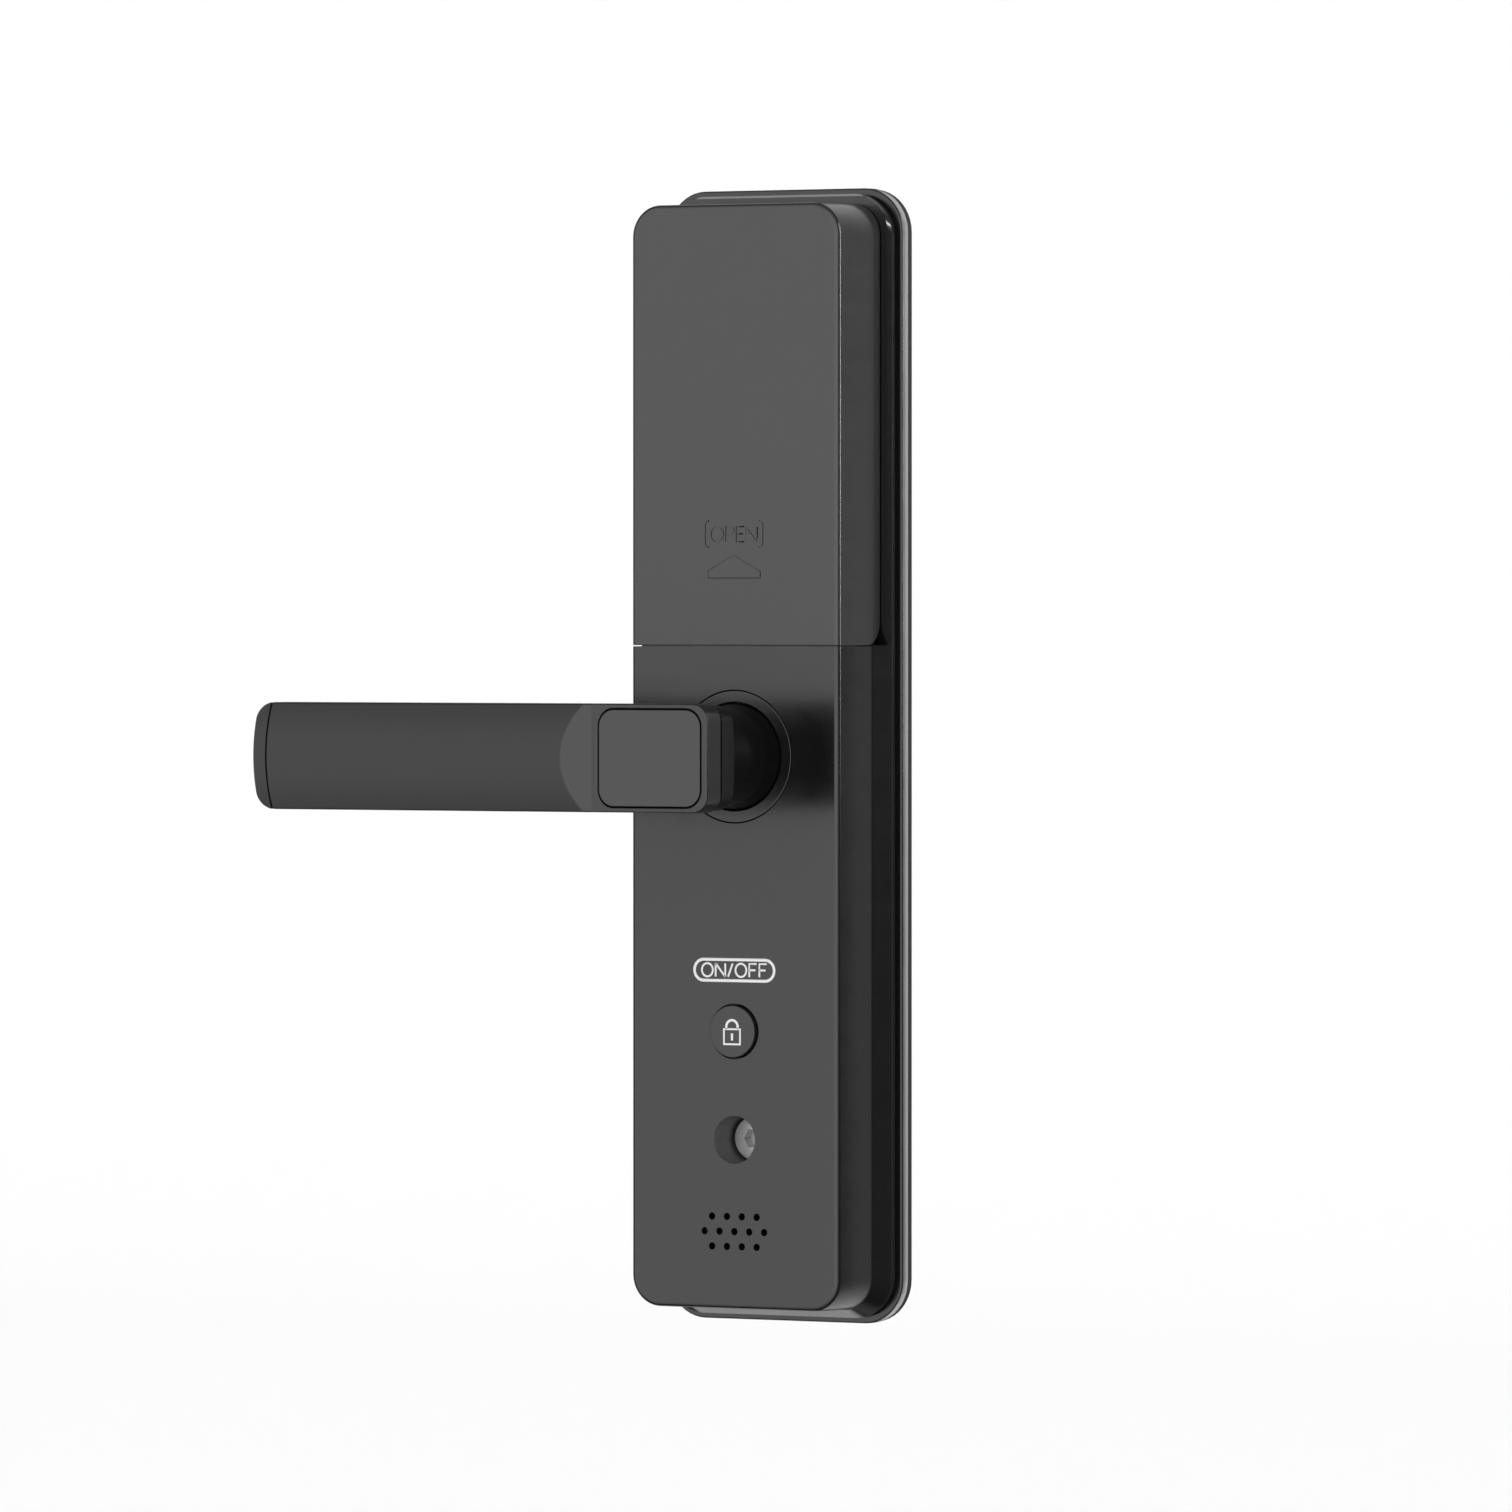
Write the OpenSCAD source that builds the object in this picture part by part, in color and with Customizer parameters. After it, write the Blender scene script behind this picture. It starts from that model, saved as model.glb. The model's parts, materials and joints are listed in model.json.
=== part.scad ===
// Indoor half of an electronic smart lock for a hinged door, in millimetres.
// The origin is on the handle's axis, on the face that lies against the door.
// +X is to the right as seen from the room, +Y runs into the door, +Z is up.

/* [Housing] */
// Width of the front shell
shell_w = 66; // [64:1:70]
// Height of the front shell
shell_h = 300; // [290:2:320]
// Radius of the shell's four corners
shell_r = 8.8; // [8:0.2:11]
// Radius that rounds the edge of the front face
edge_r = 1.4; // [1:0.1:2.5]
// Distance from the door to the shell's front face
depth = 32; // [32:0.5:36]
// Wall thickness of the front shell
wall = 2.2; // [1.8:0.2:2.6]
// How far the base flares out past the shell on each side
flare = 2.7; // [2:0.1:3]
// How far the back plate stands out past the shell on each side
plate_rim = 4.3; // [4:0.1:5]

/* [Battery cover] */
// Height of the seam between the battery cover and the shell
seam_z = 30; // [28:1:32]
// Thickness of the cover's front and side walls
cover_wall = 1.9; // [1.5:0.1:2]
// Distance from the door to the back edge of the cover's side walls
cover_back = 10.2; // [10:0.1:11]
// Radius of the lower rear corner of each side wall
cover_corner_r = 6.5; // [4:0.5:7]

/* [Lever] */
// Distance from the handle axis to the tip of the grip
lever_reach = 124; // [110:1:135]
// Distance that the hub extends past the axis on the other side
hub_reach = 18.4; // [17:0.2:20]
// Height of the grip
lever_h = 29.2; // [27:0.2:31]
// Distance from the door to the flat face of the hub
hub_front = 76.6; // [74:0.2:80]
// Distance from the door to the crest of the grip's front face
crest = 80.6; // [79:0.2:84]
// Height of the arch that the grip's front face makes from edge to crest
crown = 3.2; // [2:0.1:4]
// Width and height of the inlay plate on the hub
inlay_size = [31.8, 26]; // [20:0.2:32]
// Turn of the lever from level to either stop, in degrees
lever_turn = 45; // [30:5:50]

/* [Neck and bearing] */
// Radius of the handle's neck
neck_r = 13.2; // [13:0.1:13.6]
// Radius of the neck where it flares out to meet the panel
neck_foot_r = 14.4; // [14:0.1:14.5]
// Radius of the part of the neck that turns in the bearing
journal_r = 11; // [10:0.5:11.5]
// Radial play between the neck and its bearing
journal_play = 0.05; // [0.02:0.01:0.1]
// Width across the flats of the square spindle
spindle_w = 8; // [7:1:8]
// How far the spindle reaches into the door
spindle_reach = 42; // [35:1:60]

/* [Controls] */
// Height of the lock button's centre
button_z = -74.5; // [-80:0.5:-72]
// Radius of the lock button
button_r = 7.3; // [6:0.1:8]
// How far the lock button stands out of the panel
button_proud = 1.2; // [0.8:0.1:2]
// Travel of the lock button
button_travel = 1; // [0.5:0.1:1]
// Height of the middle row of speaker holes
grille_z = -128.8; // [-131:0.1:-128]
// Distance between the speaker holes of a row
grille_pitch = 4.7; // [4:0.1:5]
// Radius of each speaker hole
grille_hole_r = 1; // [0.6:0.1:1.2]

/* [Through-bolts] */
// Height of each through-bolt above and below the handle axis
bolt_z = 103.9; // [100:0.1:106]
// Radius of the recess that gives access to a through-bolt
recess_r = 6.5; // [6:0.1:7]
// Depth of the recess from the front face to the bolt's head
recess_depth = 9.8; // [9:0.1:11]
// Radius of the bolt's thread
bolt_r = 3; // [2.5:0.5:3]
// How far the bolts reach into the door
bolt_reach = 32; // [20:1:45]

/* [Batteries] */
// Number of cells
cells = 4; // [2:1:4]
// Radius of one cell
cell_r = 7.1; // [7:0.05:7.25]
// Length of one cell's case, without its terminal
cell_l = 49; // [48:0.5:49.5]

/* [Hidden] */

eps = 0.01;
gap = 0.15;      // half the seam between two fixed parts
slip = 0.3;      // clearance between parts that slide past each other
round_fn = 72;   // fineness of round parts
hull_fn = 32;    // fineness of the corners of a blended shape

// Layers, as Y positions from the front to the door
face_y = -depth;
inner_face_y = face_y + wall;
shell_back_y = -14.5;
cover_back_y = -cover_back;
base_back_y = -7.5;
base_floor_y = -9.7;
base_r = 11.6;   // corner radius of the base's rim
plate_r = 12;    // corner radius of the back plate
plate_front_y = -5.7;
gasket_front_y = -2.4;

// Battery bay: the narrow upper box that the cover slides over
bay_w = shell_w - 2 * (cover_wall + slip);
bay_top = shell_h / 2 - cover_wall - slip;
bay_wall = 1.6;
bay_r = shell_r - cover_wall - slip;
bay_front_y = face_y + cover_wall + slip;
bay_in_w = bay_w - 2 * bay_wall;
bay_floor_z = seam_z + 1.6;

// Battery tray
cell_pitch = 2 * cell_r + 1;
cell_y = -20.6;
cell_z0 = bay_floor_z + 2.6 + cell_r;
tray_wall = 1.2;
tray_w = bay_in_w - 0.6;
tray_in = tray_w / 2 - tray_wall;
tray_low = cell_z0 - cell_r - 1.4;
tray_high = cell_z0 + (cells - 1) * cell_pitch + cell_r + 1.4;
tray_back_y = -11.7;
tray_rim_y = cell_y - 1.5;
nub_r = 2.6;
nub_l = 1.4;
contact_t = 0.5;
cell_shift = (2 * tray_in - cell_l - nub_l) / 2 - contact_t - 0.05;

// Through-bolts
head_front_y = face_y + recess_depth;
head_t = 3.2;
head_r = 5.9;
seat_y = head_front_y + head_t;
hex_r = 2.9;
hex_deep = 2.4;
shank_r = bolt_r - 0.3;
bolt_hole_r = bolt_r + 0.4;
recess_wall = 1.5;

// Handle
lever_back_y = -61.6;
lever_seam_y = -69.2;
arch_r = (pow(lever_h / 2, 2) + pow(crown, 2)) / (2 * crown);
back_crown = 1.6;
back_inset = 0.5;
back_h = lever_h - 2 * back_inset;
back_arch_r = (pow(back_h / 2, 2) + pow(back_crown, 2)) / (2 * back_crown);
cap_t = 4;
cap_x = cap_t - lever_reach;
scoop_top_x = -25;
scoop_foot_x = -18.2;
grip_wall = 2.4;
lever_fn = 180;
hub_corner_r = 4.6;
inlay_t = 1.4;
inlay_gap = 0.25;
inlay_r = 4.6;
inlay_x = 0.2;
hub_screw_x = 8;
flare_y = -37.6;
neck_front_y = lever_back_y - 2.5;
square_w = 14;       // square end of the neck that carries the drive hub
square_y = -20;      // where the round journal ends and the square begins
neck_back_y = -10.4;
spindle_front_y = -54;
set_screw_y = -46;

// Spring housing and drive hub
housing_r = 24.5;
housing_in_r = 22.4;
housing_front_y = -26.6;
housing_t = 2.2;
housing_screw_x = 19.5;
hub_front_y = -19.6;
hub_back_y = -13.2;
hub_r = 13.4;
lug_r = 20.6;
lug_half = 9;        // half of the lug's width, in degrees
stop_play = 0.5;     // turn left between the lug and a stop, in degrees
stop_wide = 14;      // width of each stop, in degrees
spring_r = 17.2;
spring_wire = 1.5;
spring_turns = 2;
leg_angle = 12.2;    // angle of each spring leg from the lug's middle
leg_back_y = -11.2;
front_leg_r = 19.5;  // the front leg passes outside the coils
post_y = [-12.8, -10.8];
clip_y = -12.4;
clip_t = 0.9;
clip_groove_r = 8.4;

// Rosette ring around the neck
ring_r = 17.9;
ring_gap = 0.25;
ring_bore_r = neck_foot_r + 0.25;
ring_flange_r = 20;
ring_flange_t = 1.2;

// Electronics
board_front_y = -21.6;
board_t = 1.6;
board_back_y = board_front_y + board_t;
board_w = 42;
board_top = -32;
board_low = -115;
standoff_xz = [[-17, -37], [17, -37], [-17, -92], [17, -92]];
standoff_r = 2.6;
slot_w = 20;         // cable slot through the plate, its width and height
slot_h = 12;
slot_z = -60;
switch_w = 6;
switch_front_y = -25.1;
plunger_r = 1.7;
plunger_front_y = -26.4;
plunger_back_y = -23.4;
button_flange_r = button_r + 1.6;
button_flange_y = inner_face_y + 0.1;
button_spring_r = 5;
button_edge = 0.6;
speaker_r = 11;
speaker_front_y = inner_face_y + 1.2;

// Screws that join the base to the shell: two columns, at these heights
shell_screw_x = 26;
shell_screw_z = [-136, -48, 20];
bay_screw_x = 22;
bay_screw_z = 138;
screw_post_r = 3;

// ---------- shapes that repeat ----------

// Rounded rectangle
module outline(w, h, r, fn = round_fn) {
    square([w - 2 * r, h], center = true);
    square([w, h - 2 * r], center = true);
    for (x = [-1, 1], z = [-1, 1])
        translate([x * (w / 2 - r), z * (h / 2 - r)])
            circle(r, $fn = fn);
}

// Stands an XY outline up in the XZ plane, from the front plane to the back plane
module stand(front, back) {
    translate([0, back, 0])
        rotate([90, 0, 0])
            linear_extrude(back - front)
                children();
}

// Upright plate with rounded corners
module slab(w, h, r, front, back, fn = round_fn) {
    stand(front, back)
        outline(w, h, r, fn);
}

// Upright box between two heights
module block(w, low, high, front, back) {
    translate([-w / 2, front, low])
        cube([w, back - front, high - low]);
}

// Round rod along Y
module rod(r, front, back, x = 0, z = 0) {
    translate([x, back, z])
        rotate([90, 0, 0])
            cylinder(r = r, h = back - front, $fn = round_fn);
}

// Tube along Y
module tube(outer_r, inner_r, front, back, x = 0, z = 0) {
    difference() {
        rod(outer_r, front, back, x, z);
        rod(inner_r, front - 1, back + 1, x, z);
    }
}

// Section of a plate with both front edges rounded
module round_edge_section(w, deep, e) {
    translate([-w / 2, 0])
        square([w, deep - e]);
    translate([-w / 2 + e, 0])
        square([w - 2 * e, deep]);
    for (x = [-1, 1])
        translate([x * (w / 2 - e), deep - e])
            circle(e, $fn = round_fn);
}

// Quarter of that section, to be turned about a corner
module round_corner_section(r, deep, e) {
    square([r, deep - e]);
    square([r - e, deep]);
    translate([r - e, deep - e])
        circle(e, $fn = round_fn);
}

// Upright plate with rounded corners and a rounded front edge
module soft_slab(w, h, r, e, front, back) {
    deep = back - front;
    translate([0, back, 0]) {
        for (x = [-1, 1], z = [-1, 1])
            translate([x * (w / 2 - r), 0, z * (h / 2 - r)])
                rotate([90, 0, 0])
                    rotate_extrude($fn = round_fn)
                        round_corner_section(r, deep, e);
        rotate([180, 90, 0])
            linear_extrude(w - 2 * r, center = true)
                round_edge_section(h, deep, e);
        rotate([180, 0, 0])
            linear_extrude(h - 2 * r, center = true)
                round_edge_section(w, deep, e);
    }
}

// Wedge of a circle, from one angle to another, measured from +Z towards +X
module wedge(r, from, to) {
    mid = (from + to) / 2;
    polygon([
        [0, 0],
        [2 * r * sin(from), 2 * r * cos(from)],
        [2 * r * sin(mid), 2 * r * cos(mid)],
        [2 * r * sin(to), 2 * r * cos(to)],
    ]);
}

function unit(v) = v / norm(v);

// Path of a coil along Z; each pair gives the value at its start and at its end
function coil_path(r, z, angle, steps) = [
    for (i = [0:steps])
        let (
            t = i / steps,
            q = r[0] + (r[1] - r[0]) * t,
            a = angle[0] + (angle[1] - angle[0]) * t
        )
        [q * cos(a), q * sin(a), z[0] + (z[1] - z[0]) * t]
];

// Direction from one point of a path to the next
function leaving(path, i) = unit(path[i + 1] - path[i]);

// Direction of a path at one of its points
function heading(path, i) =
    i == 0 ? leaving(path, 0)
    : i == len(path) - 1 ? leaving(path, i - 1)
    : unit(leaving(path, i - 1) + leaving(path, i));

// Part of a direction that is square to a heading
function square_to(v, t) = unit(v - (v * t) * t);

// The same side of the wire at every point, carried along from the first
function sides_along(path, i = 0, side = [1, 0, 0]) =
    let (here = square_to(side, heading(path, i)))
    i == len(path) - 1 ? [here] : concat([here], sides_along(path, i + 1, here));

// Round wire along a path
module wire(path, r, sides = 6) {
    last = len(path) - 1;
    side = sides_along(path);
    points = [
        for (i = [0:last])
            let (up = cross(heading(path, i), side[i]))
            for (k = [0:sides - 1])
                let (a = 360 * k / sides)
                path[i] + r * (cos(a) * side[i] + sin(a) * up)
    ];
    walls = [
        for (i = [0:last - 1], k = [0:sides - 1])
            let (n = (k + 1) % sides, b = i * sides)
            [b + k, b + sides + k, b + sides + n, b + n]
    ];
    low_end = [for (k = [0:sides - 1]) k];
    high_end = [for (k = [sides - 1:-1:0]) last * sides + k];
    polyhedron(points, concat(walls, [low_end, high_end]));
}

// Pan-head screw along Y, with its head towards the room
module front_screw(x, z, head_y, head_r, head_t, r, length) {
    difference() {
        union() {
            rod(head_r, head_y - head_t, head_y, x, z);
            rod(r, head_y - eps, head_y + length, x, z);
        }
        translate([x, head_y - head_t, z])
            for (a = [0, 90])
                rotate([0, a, 0])
                    cube([1.3 * head_r, 1.2, 0.6], center = true);
    }
}

// Countersunk screw along Y, driven from the door side
module rear_screw(x, z, back, front) {
    difference() {
        union() {
            rod(2.6, back - 1.5, back, x, z);
            rod(1.2, front, back - 1.5 + eps, x, z);
        }
        translate([x, back, z])
            for (a = [0, 90])
                rotate([0, a, 0])
                    cube([3.4, 1.2, 0.6], center = true);
    }
}

// ---------- fixed parts on the door ----------

// Holes that run through every layer against the door
module door_holes(front, back, extra = 0) {
    rod(spindle_w + 3 + extra, front, back);
    for (z = [-bolt_z, bolt_z])
        rod(bolt_hole_r + extra, front, back, 0, z);
    block(slot_w + 2 * extra, slot_z - slot_h / 2 - extra, slot_z + slot_h / 2 + extra, front, back);
}

module door_gasket() {
    color("#191a1b")
        difference() {
            slab(
                shell_w + 2 * plate_rim - 0.4, shell_h + 2 * plate_rim - 0.4, plate_r - 0.2,
                gasket_front_y, 0
            );
            door_holes(gasket_front_y - 1, 1, 1);
        }
}

module mounting_plate() {
    color("#55575a")
        difference() {
            soft_slab(
                shell_w + 2 * plate_rim, shell_h + 2 * plate_rim, plate_r, 0.6,
                plate_front_y, gasket_front_y
            );
            door_holes(plate_front_y - 1, gasket_front_y + 1);
        }
}

module body_gasket() {
    outer_w = shell_w + 2 * flare - 1.2;
    outer_h = shell_h + 2 * flare - 1.2;
    color("#0c0c0d")
        difference() {
            slab(outer_w, outer_h, 11, base_back_y, plate_front_y);
            slab(outer_w - 8, outer_h - 8, 7, base_back_y - 1, plate_front_y + 1);
        }
}

// Outside of the base: it flares from the shell's outline to a wider rim
module base_flare(front) {
    grow = 0.2 + flare * (front - shell_back_y) / (base_back_y - 1 - shell_back_y);
    hull() {
        slab(shell_w + 2 * grow, shell_h + 2 * grow, shell_r + grow / 2, front, front + 0.2, hull_fn);
        slab(shell_w + 2 * flare, shell_h + 2 * flare, base_r, base_back_y - 1, base_back_y, hull_fn);
    }
}

module base_frame() {
    upper = 400;
    color("#1f2022")
        difference() {
            union() {
                difference() {
                    union() {
                        intersection() {
                            base_flare(shell_back_y);
                            block(upper, -upper, seam_z, face_y, 0);
                        }
                        intersection() {
                            base_flare(cover_back_y + slip);
                            block(upper, seam_z - eps, upper, face_y, 0);
                        }
                        bay_collar();
                    }
                    // the hollow behind the shell and the bay
                    block(shell_w - 2 * wall, -shell_h / 2 + wall + 2, seam_z - wall, shell_back_y - 1, base_floor_y);
                    stand(shell_back_y - 1, base_floor_y)
                        bay_outline(bay_wall, bay_floor_z);
                }
                bolt_posts();
                for (p = standoff_xz)
                    rod(standoff_r, board_back_y, base_floor_y + eps, p[0], p[1]);
            }
            door_holes(face_y, 1);
            for (x = [-1, 1], z = [-1, 1])
                rod(1.3, housing_front_y, base_back_y + 1, x * housing_screw_x, z * housing_screw_x);
            for (p = standoff_xz)
                rod(1.1, board_back_y - 1, base_floor_y - 1, p[0], p[1]);
            for (x = [-1, 1], z = shell_screw_z)
                screw_hole(x * shell_screw_x, z);
            for (x = [-1, 1])
                screw_hole(x * bay_screw_x, bay_screw_z);
        }
}

// Raised frame under the battery bay, with a groove on each side for the cover's rails
module bay_collar() {
    difference() {
        stand(shell_back_y, base_back_y)
            bay_outline(0, seam_z - 2);
        for (x = [-1, 1])
            translate([x * bay_w / 2, -12.3, seam_z + 60])
                cube([2.4, 1.8, 400], center = true);
    }
}

// Outline of the bay: square below, where it meets the shell, and rounded at the top
module bay_outline(inset, low) {
    w = bay_w - 2 * inset;
    top = bay_top - inset;
    intersection() {
        translate([0, top - shell_h / 2])
            outline(w, shell_h, bay_r - inset);
        translate([-w / 2, low])
            square([w, top - low]);
    }
}

// Posts that the through-bolts pull against
module bolt_posts() {
    for (z = [-bolt_z, bolt_z])
        rod(head_r + 2.1, seat_y, base_floor_y + eps, 0, z);
}

// Clearance hole and head pocket for one screw driven from the door side
module screw_hole(x, z) {
    rod(1.5, shell_back_y - 1, base_back_y + 1, x, z);
    rod(2.8, base_back_y - 1.6, base_back_y + 1, x, z);
}

module front_shell() {
    color("#3a3b3d")
        difference() {
            union() {
                difference() {
                    intersection() {
                        soft_slab(shell_w, shell_h, shell_r, edge_r, face_y, shell_back_y);
                        block(shell_w + 2, -shell_h, seam_z - gap, face_y - 1, 0);
                    }
                    block(
                        shell_w - 2 * wall, -shell_h / 2 + wall + 2, seam_z - wall,
                        inner_face_y, shell_back_y + 1
                    );
                }
                bay_walls();
                shell_bosses();
            }
            rod(ring_r + ring_gap, face_y - 1, inner_face_y + 1);
            rod(button_r + slip, face_y - 1, inner_face_y + 1, 0, button_z);
            rod(recess_r, face_y - 1, seat_y + 1, 0, -bolt_z);
            grille_holes();
            for (x = [-1, 1], z = shell_screw_z)
                rod(1.2, inner_face_y + 4, shell_back_y + 1, x * shell_screw_x, z);
            for (x = [-1, 1])
                rod(1.2, bay_front_y + 4, shell_back_y + 1, x * bay_screw_x, bay_screw_z);
        }
}

// Walls of the battery bay, open to the front
module bay_walls() {
    difference() {
        stand(bay_front_y, shell_back_y)
            bay_outline(0, seam_z - 2);
        stand(bay_front_y - 1, shell_back_y + 1)
            bay_outline(bay_wall, bay_floor_z);
    }
    for (x = [-1, 1]) {
        rod(screw_post_r, bay_front_y + 2, shell_back_y, x * bay_screw_x, bay_screw_z);
        translate([x * (bay_screw_x + bay_in_w / 2) / 2, (bay_front_y + 2 + shell_back_y) / 2, bay_screw_z])
            cube([bay_in_w / 2 - bay_screw_x + 1, shell_back_y - bay_front_y - 2, 1.4], center = true);
    }
}

// Posts, collars and the recess tube behind the front face
module shell_bosses() {
    for (x = [-1, 1], z = shell_screw_z)
        rod(screw_post_r, inner_face_y - eps, shell_back_y, x * shell_screw_x, z);
    rod(recess_r + recess_wall, inner_face_y - eps, seat_y, 0, -bolt_z);
    tube(button_flange_r + 1.5, button_flange_r + slip, inner_face_y - eps, -25.6, 0, button_z);
    tube(speaker_r + 1.5, speaker_r + slip, inner_face_y - eps, -26, 0, grille_z);
}

// Three staggered rows of speaker holes
module grille_holes() {
    row_pitch = grille_pitch * sin(60);
    for (row = [-1, 0, 1])
        for (i = [0:(row == 0 ? 4 : 3)])
            rod(
                grille_hole_r, face_y - 1, inner_face_y + 1,
                (i - (row == 0 ? 2 : 1.5)) * grille_pitch, grille_z + row * row_pitch
            );
}

module rosette_ring() {
    color("#414244")
        difference() {
            union() {
                rod(ring_r, face_y, inner_face_y + gap);
                rod(ring_flange_r, inner_face_y + gap - eps, inner_face_y + gap + ring_flange_t);
            }
            rod(ring_bore_r, face_y - 1, inner_face_y + 2 + ring_flange_t);
        }
}

// ---------- fasteners ----------

module through_bolts() {
    color("#b4b6b8")
        for (z = [-bolt_z, bolt_z])
            translate([0, 0, z])
                difference() {
                    union() {
                        rod(head_r, head_front_y, seat_y);
                        rod(shank_r, seat_y - eps, 0);
                        rod(bolt_r, -eps, bolt_reach);
                    }
                    translate([0, head_front_y + hex_deep, 0])
                        rotate([90, 0, 0])
                            cylinder(r = hex_r, h = hex_deep + 1, $fn = 6);
                }
}

module shell_screws() {
    color("#8d8f92") {
        for (x = [-1, 1], z = shell_screw_z)
            rear_screw(x * shell_screw_x, z, base_back_y, shell_back_y - 7);
        for (x = [-1, 1])
            rear_screw(x * bay_screw_x, bay_screw_z, base_back_y, shell_back_y - 7);
    }
}

module board_screws() {
    color("#8d8f92")
        for (p = standoff_xz)
            front_screw(p[0], p[1], board_front_y, 2.2, 1.3, 1.1, 8);
}

module housing_screws() {
    color("#8d8f92")
        for (x = [-1, 1], z = [-1, 1])
            front_screw(
                x * housing_screw_x, z * housing_screw_x,
                base_floor_y - 2.2, 2.4, 1.4, 1.3, 3.6
            );
}

// ---------- battery compartment ----------

module battery_tray() {
    color("#2b2c2e")
        difference() {
            block(tray_w, tray_low, tray_high, tray_rim_y, tray_back_y);
            for (i = [0:cells - 1])
                at_cell(i)
                    rotate([0, 90, 0])
                        cylinder(r = cell_r + 0.2, h = 2 * tray_in, center = true, $fn = round_fn);
            for (i = [0:cells - 1])
                at_cell(i)
                    translate([0, -cell_r - 1, 0])
                        cube([2 * tray_in, 2 * cell_r + 2, 2 * cell_r + 0.4], center = true);
        }
}

// Moves to the middle of one cell
module at_cell(i) {
    translate([0, cell_y, cell_z0 + i * cell_pitch])
        children();
}

// Cells point left and right in turn
function cell_side(i) = i % 2 == 0 ? 1 : -1;

module batteries() {
    color("#6e7f73")
        for (i = [0:cells - 1])
            at_cell(i)
                rotate([0, 90 * cell_side(i), 0])
                    translate([0, 0, cell_shift - nub_l / 2]) {
                        cylinder(r = cell_r, h = cell_l, center = true, $fn = round_fn);
                        translate([0, 0, cell_l / 2 - eps])
                            cylinder(r = nub_r, h = nub_l, $fn = round_fn);
                    }
}

// Conical springs that push on the flat end of each cell
module contact_springs() {
    flat_end = cell_shift - nub_l / 2 - cell_l / 2;
    wire_r = 0.35;
    color("#c9c3b4")
        for (i = [0:cells - 1])
            at_cell(i)
                rotate([0, 90 * cell_side(i), 0])
                    wire(
                        coil_path(
                            [4.6, 2.6], [wire_r + 0.03 - tray_in, flat_end - wire_r - 0.03],
                            [0, 900], 35
                        ),
                        wire_r
                    );
}

// Flat contacts that meet the terminal of each cell
module contact_plates() {
    color("#c9c3b4")
        for (i = [0:cells - 1])
            at_cell(i)
                translate([cell_side(i) * (tray_in - contact_t / 2 - 0.01), 0, 0])
                    cube([contact_t, 9, 10], center = true);
}

module battery_cover() {
    color("#434446")
        difference() {
            intersection() {
                soft_slab(shell_w, shell_h, shell_r, edge_r, face_y, cover_back_y);
                block(shell_w + 2, seam_z + gap, shell_h, face_y - 1, 0);
            }
            difference() {
                slab(
                    shell_w - 2 * cover_wall, shell_h - 2 * cover_wall, shell_r - cover_wall,
                    face_y + cover_wall, 0
                );
                cover_rails();
            }
            cover_corner_cut();
        }
}

// Ribs inside the side walls that run in the grooves of the bay
module cover_rails() {
    for (x = [-1, 1])
        translate([x * (bay_w / 2), -12.3, seam_z + 60])
            cube([1.6, 1.2, 100], center = true);
}

// Rounds the lower rear corner of the side walls
module cover_corner_cut() {
    r = cover_corner_r;
    translate([-shell_w, cover_back_y - r, seam_z + gap])
        rotate([90, 0, 90])
            linear_extrude(2 * shell_w)
                difference() {
                    translate([0, -1])
                        square([r + 1, r + 1]);
                    translate([0, r])
                        circle(r, $fn = round_fn);
                }
}

// ---------- electronics ----------

module control_board() {
    color("#2f5d46")
        difference() {
            block(board_w, board_low, board_top, board_front_y, board_back_y);
            rod(recess_r + recess_wall + 0.5, board_front_y - 1, board_back_y + 1, 0, -bolt_z);
            for (p = standoff_xz)
                rod(1.3, board_front_y - 1, board_back_y + 1, p[0], p[1]);
        }
}

// Processor, radio, power parts and capacitors on the front of the board
module board_chips() {
    chips = [
        [-9, -48, 10, 10, 1.4], [9, -46, 7, 7, 1.2], [-12, -63, 8, 5, 1.8],
        [12, -60, 6, 4, 1.2], [-14, -82, 5, 6, 2.4], [14, -80, 7, 7, 3],
    ];
    color("#17181a") {
        for (c = chips)
            translate([c[0], board_front_y - c[4] / 2, c[1]])
                cube([c[2], c[4], c[3]], center = true);
        for (x = [-15, 15])
            rod(2.5, board_front_y - 5, board_front_y, x, -70);
    }
}

// Socket on the back of the board, in line with the cable slot
module cable_socket() {
    pins = 5;
    color("#d8d4c6")
        difference() {
            block(14, slot_z - 3, slot_z + 3, board_back_y, -13.6);
            block(12, slot_z - 2, slot_z + 2, board_back_y + 1, -12);
            for (i = [0:pins - 1])
                rod(0.4, board_back_y - 1, board_back_y + 2, (i - (pins - 1) / 2) * 2, slot_z);
        }
}

module tact_switch() {
    color("#222325")
        difference() {
            block(
                switch_w, button_z - switch_w / 2, button_z + switch_w / 2,
                switch_front_y, board_front_y
            );
            rod(plunger_r + 0.1, switch_front_y - 1, plunger_back_y + button_travel + 0.3, 0, button_z);
        }
}

module speaker() {
    color("#303134") {
        difference() {
            rod(speaker_r, speaker_front_y, speaker_front_y + 2.6, 0, grille_z);
            translate([0, speaker_front_y - 11.2, grille_z])
                sphere(12, $fn = round_fn);
        }
        rod(7.5, speaker_front_y + 2.6 - eps, speaker_front_y + 5.2, 0, grille_z);
    }
}

module speaker_gasket() {
    color("#1a1b1c")
        tube(speaker_r, speaker_r - 1.6, inner_face_y, speaker_front_y, 0, grille_z);
}

// ---------- lock button ----------

module lock_button() {
    stem_r = 2.2;
    front = face_y - button_proud;
    color("#3d3e40") {
        translate([0, button_flange_y, button_z])
            rotate([90, 0, 0])
                rotate_extrude($fn = round_fn)
                    round_corner_section(button_r, button_flange_y - front, button_edge);
        rod(button_flange_r, button_flange_y - eps, button_flange_y + 1, 0, button_z);
        rod(stem_r, button_flange_y, plunger_front_y, 0, button_z);
    }
}

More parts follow.
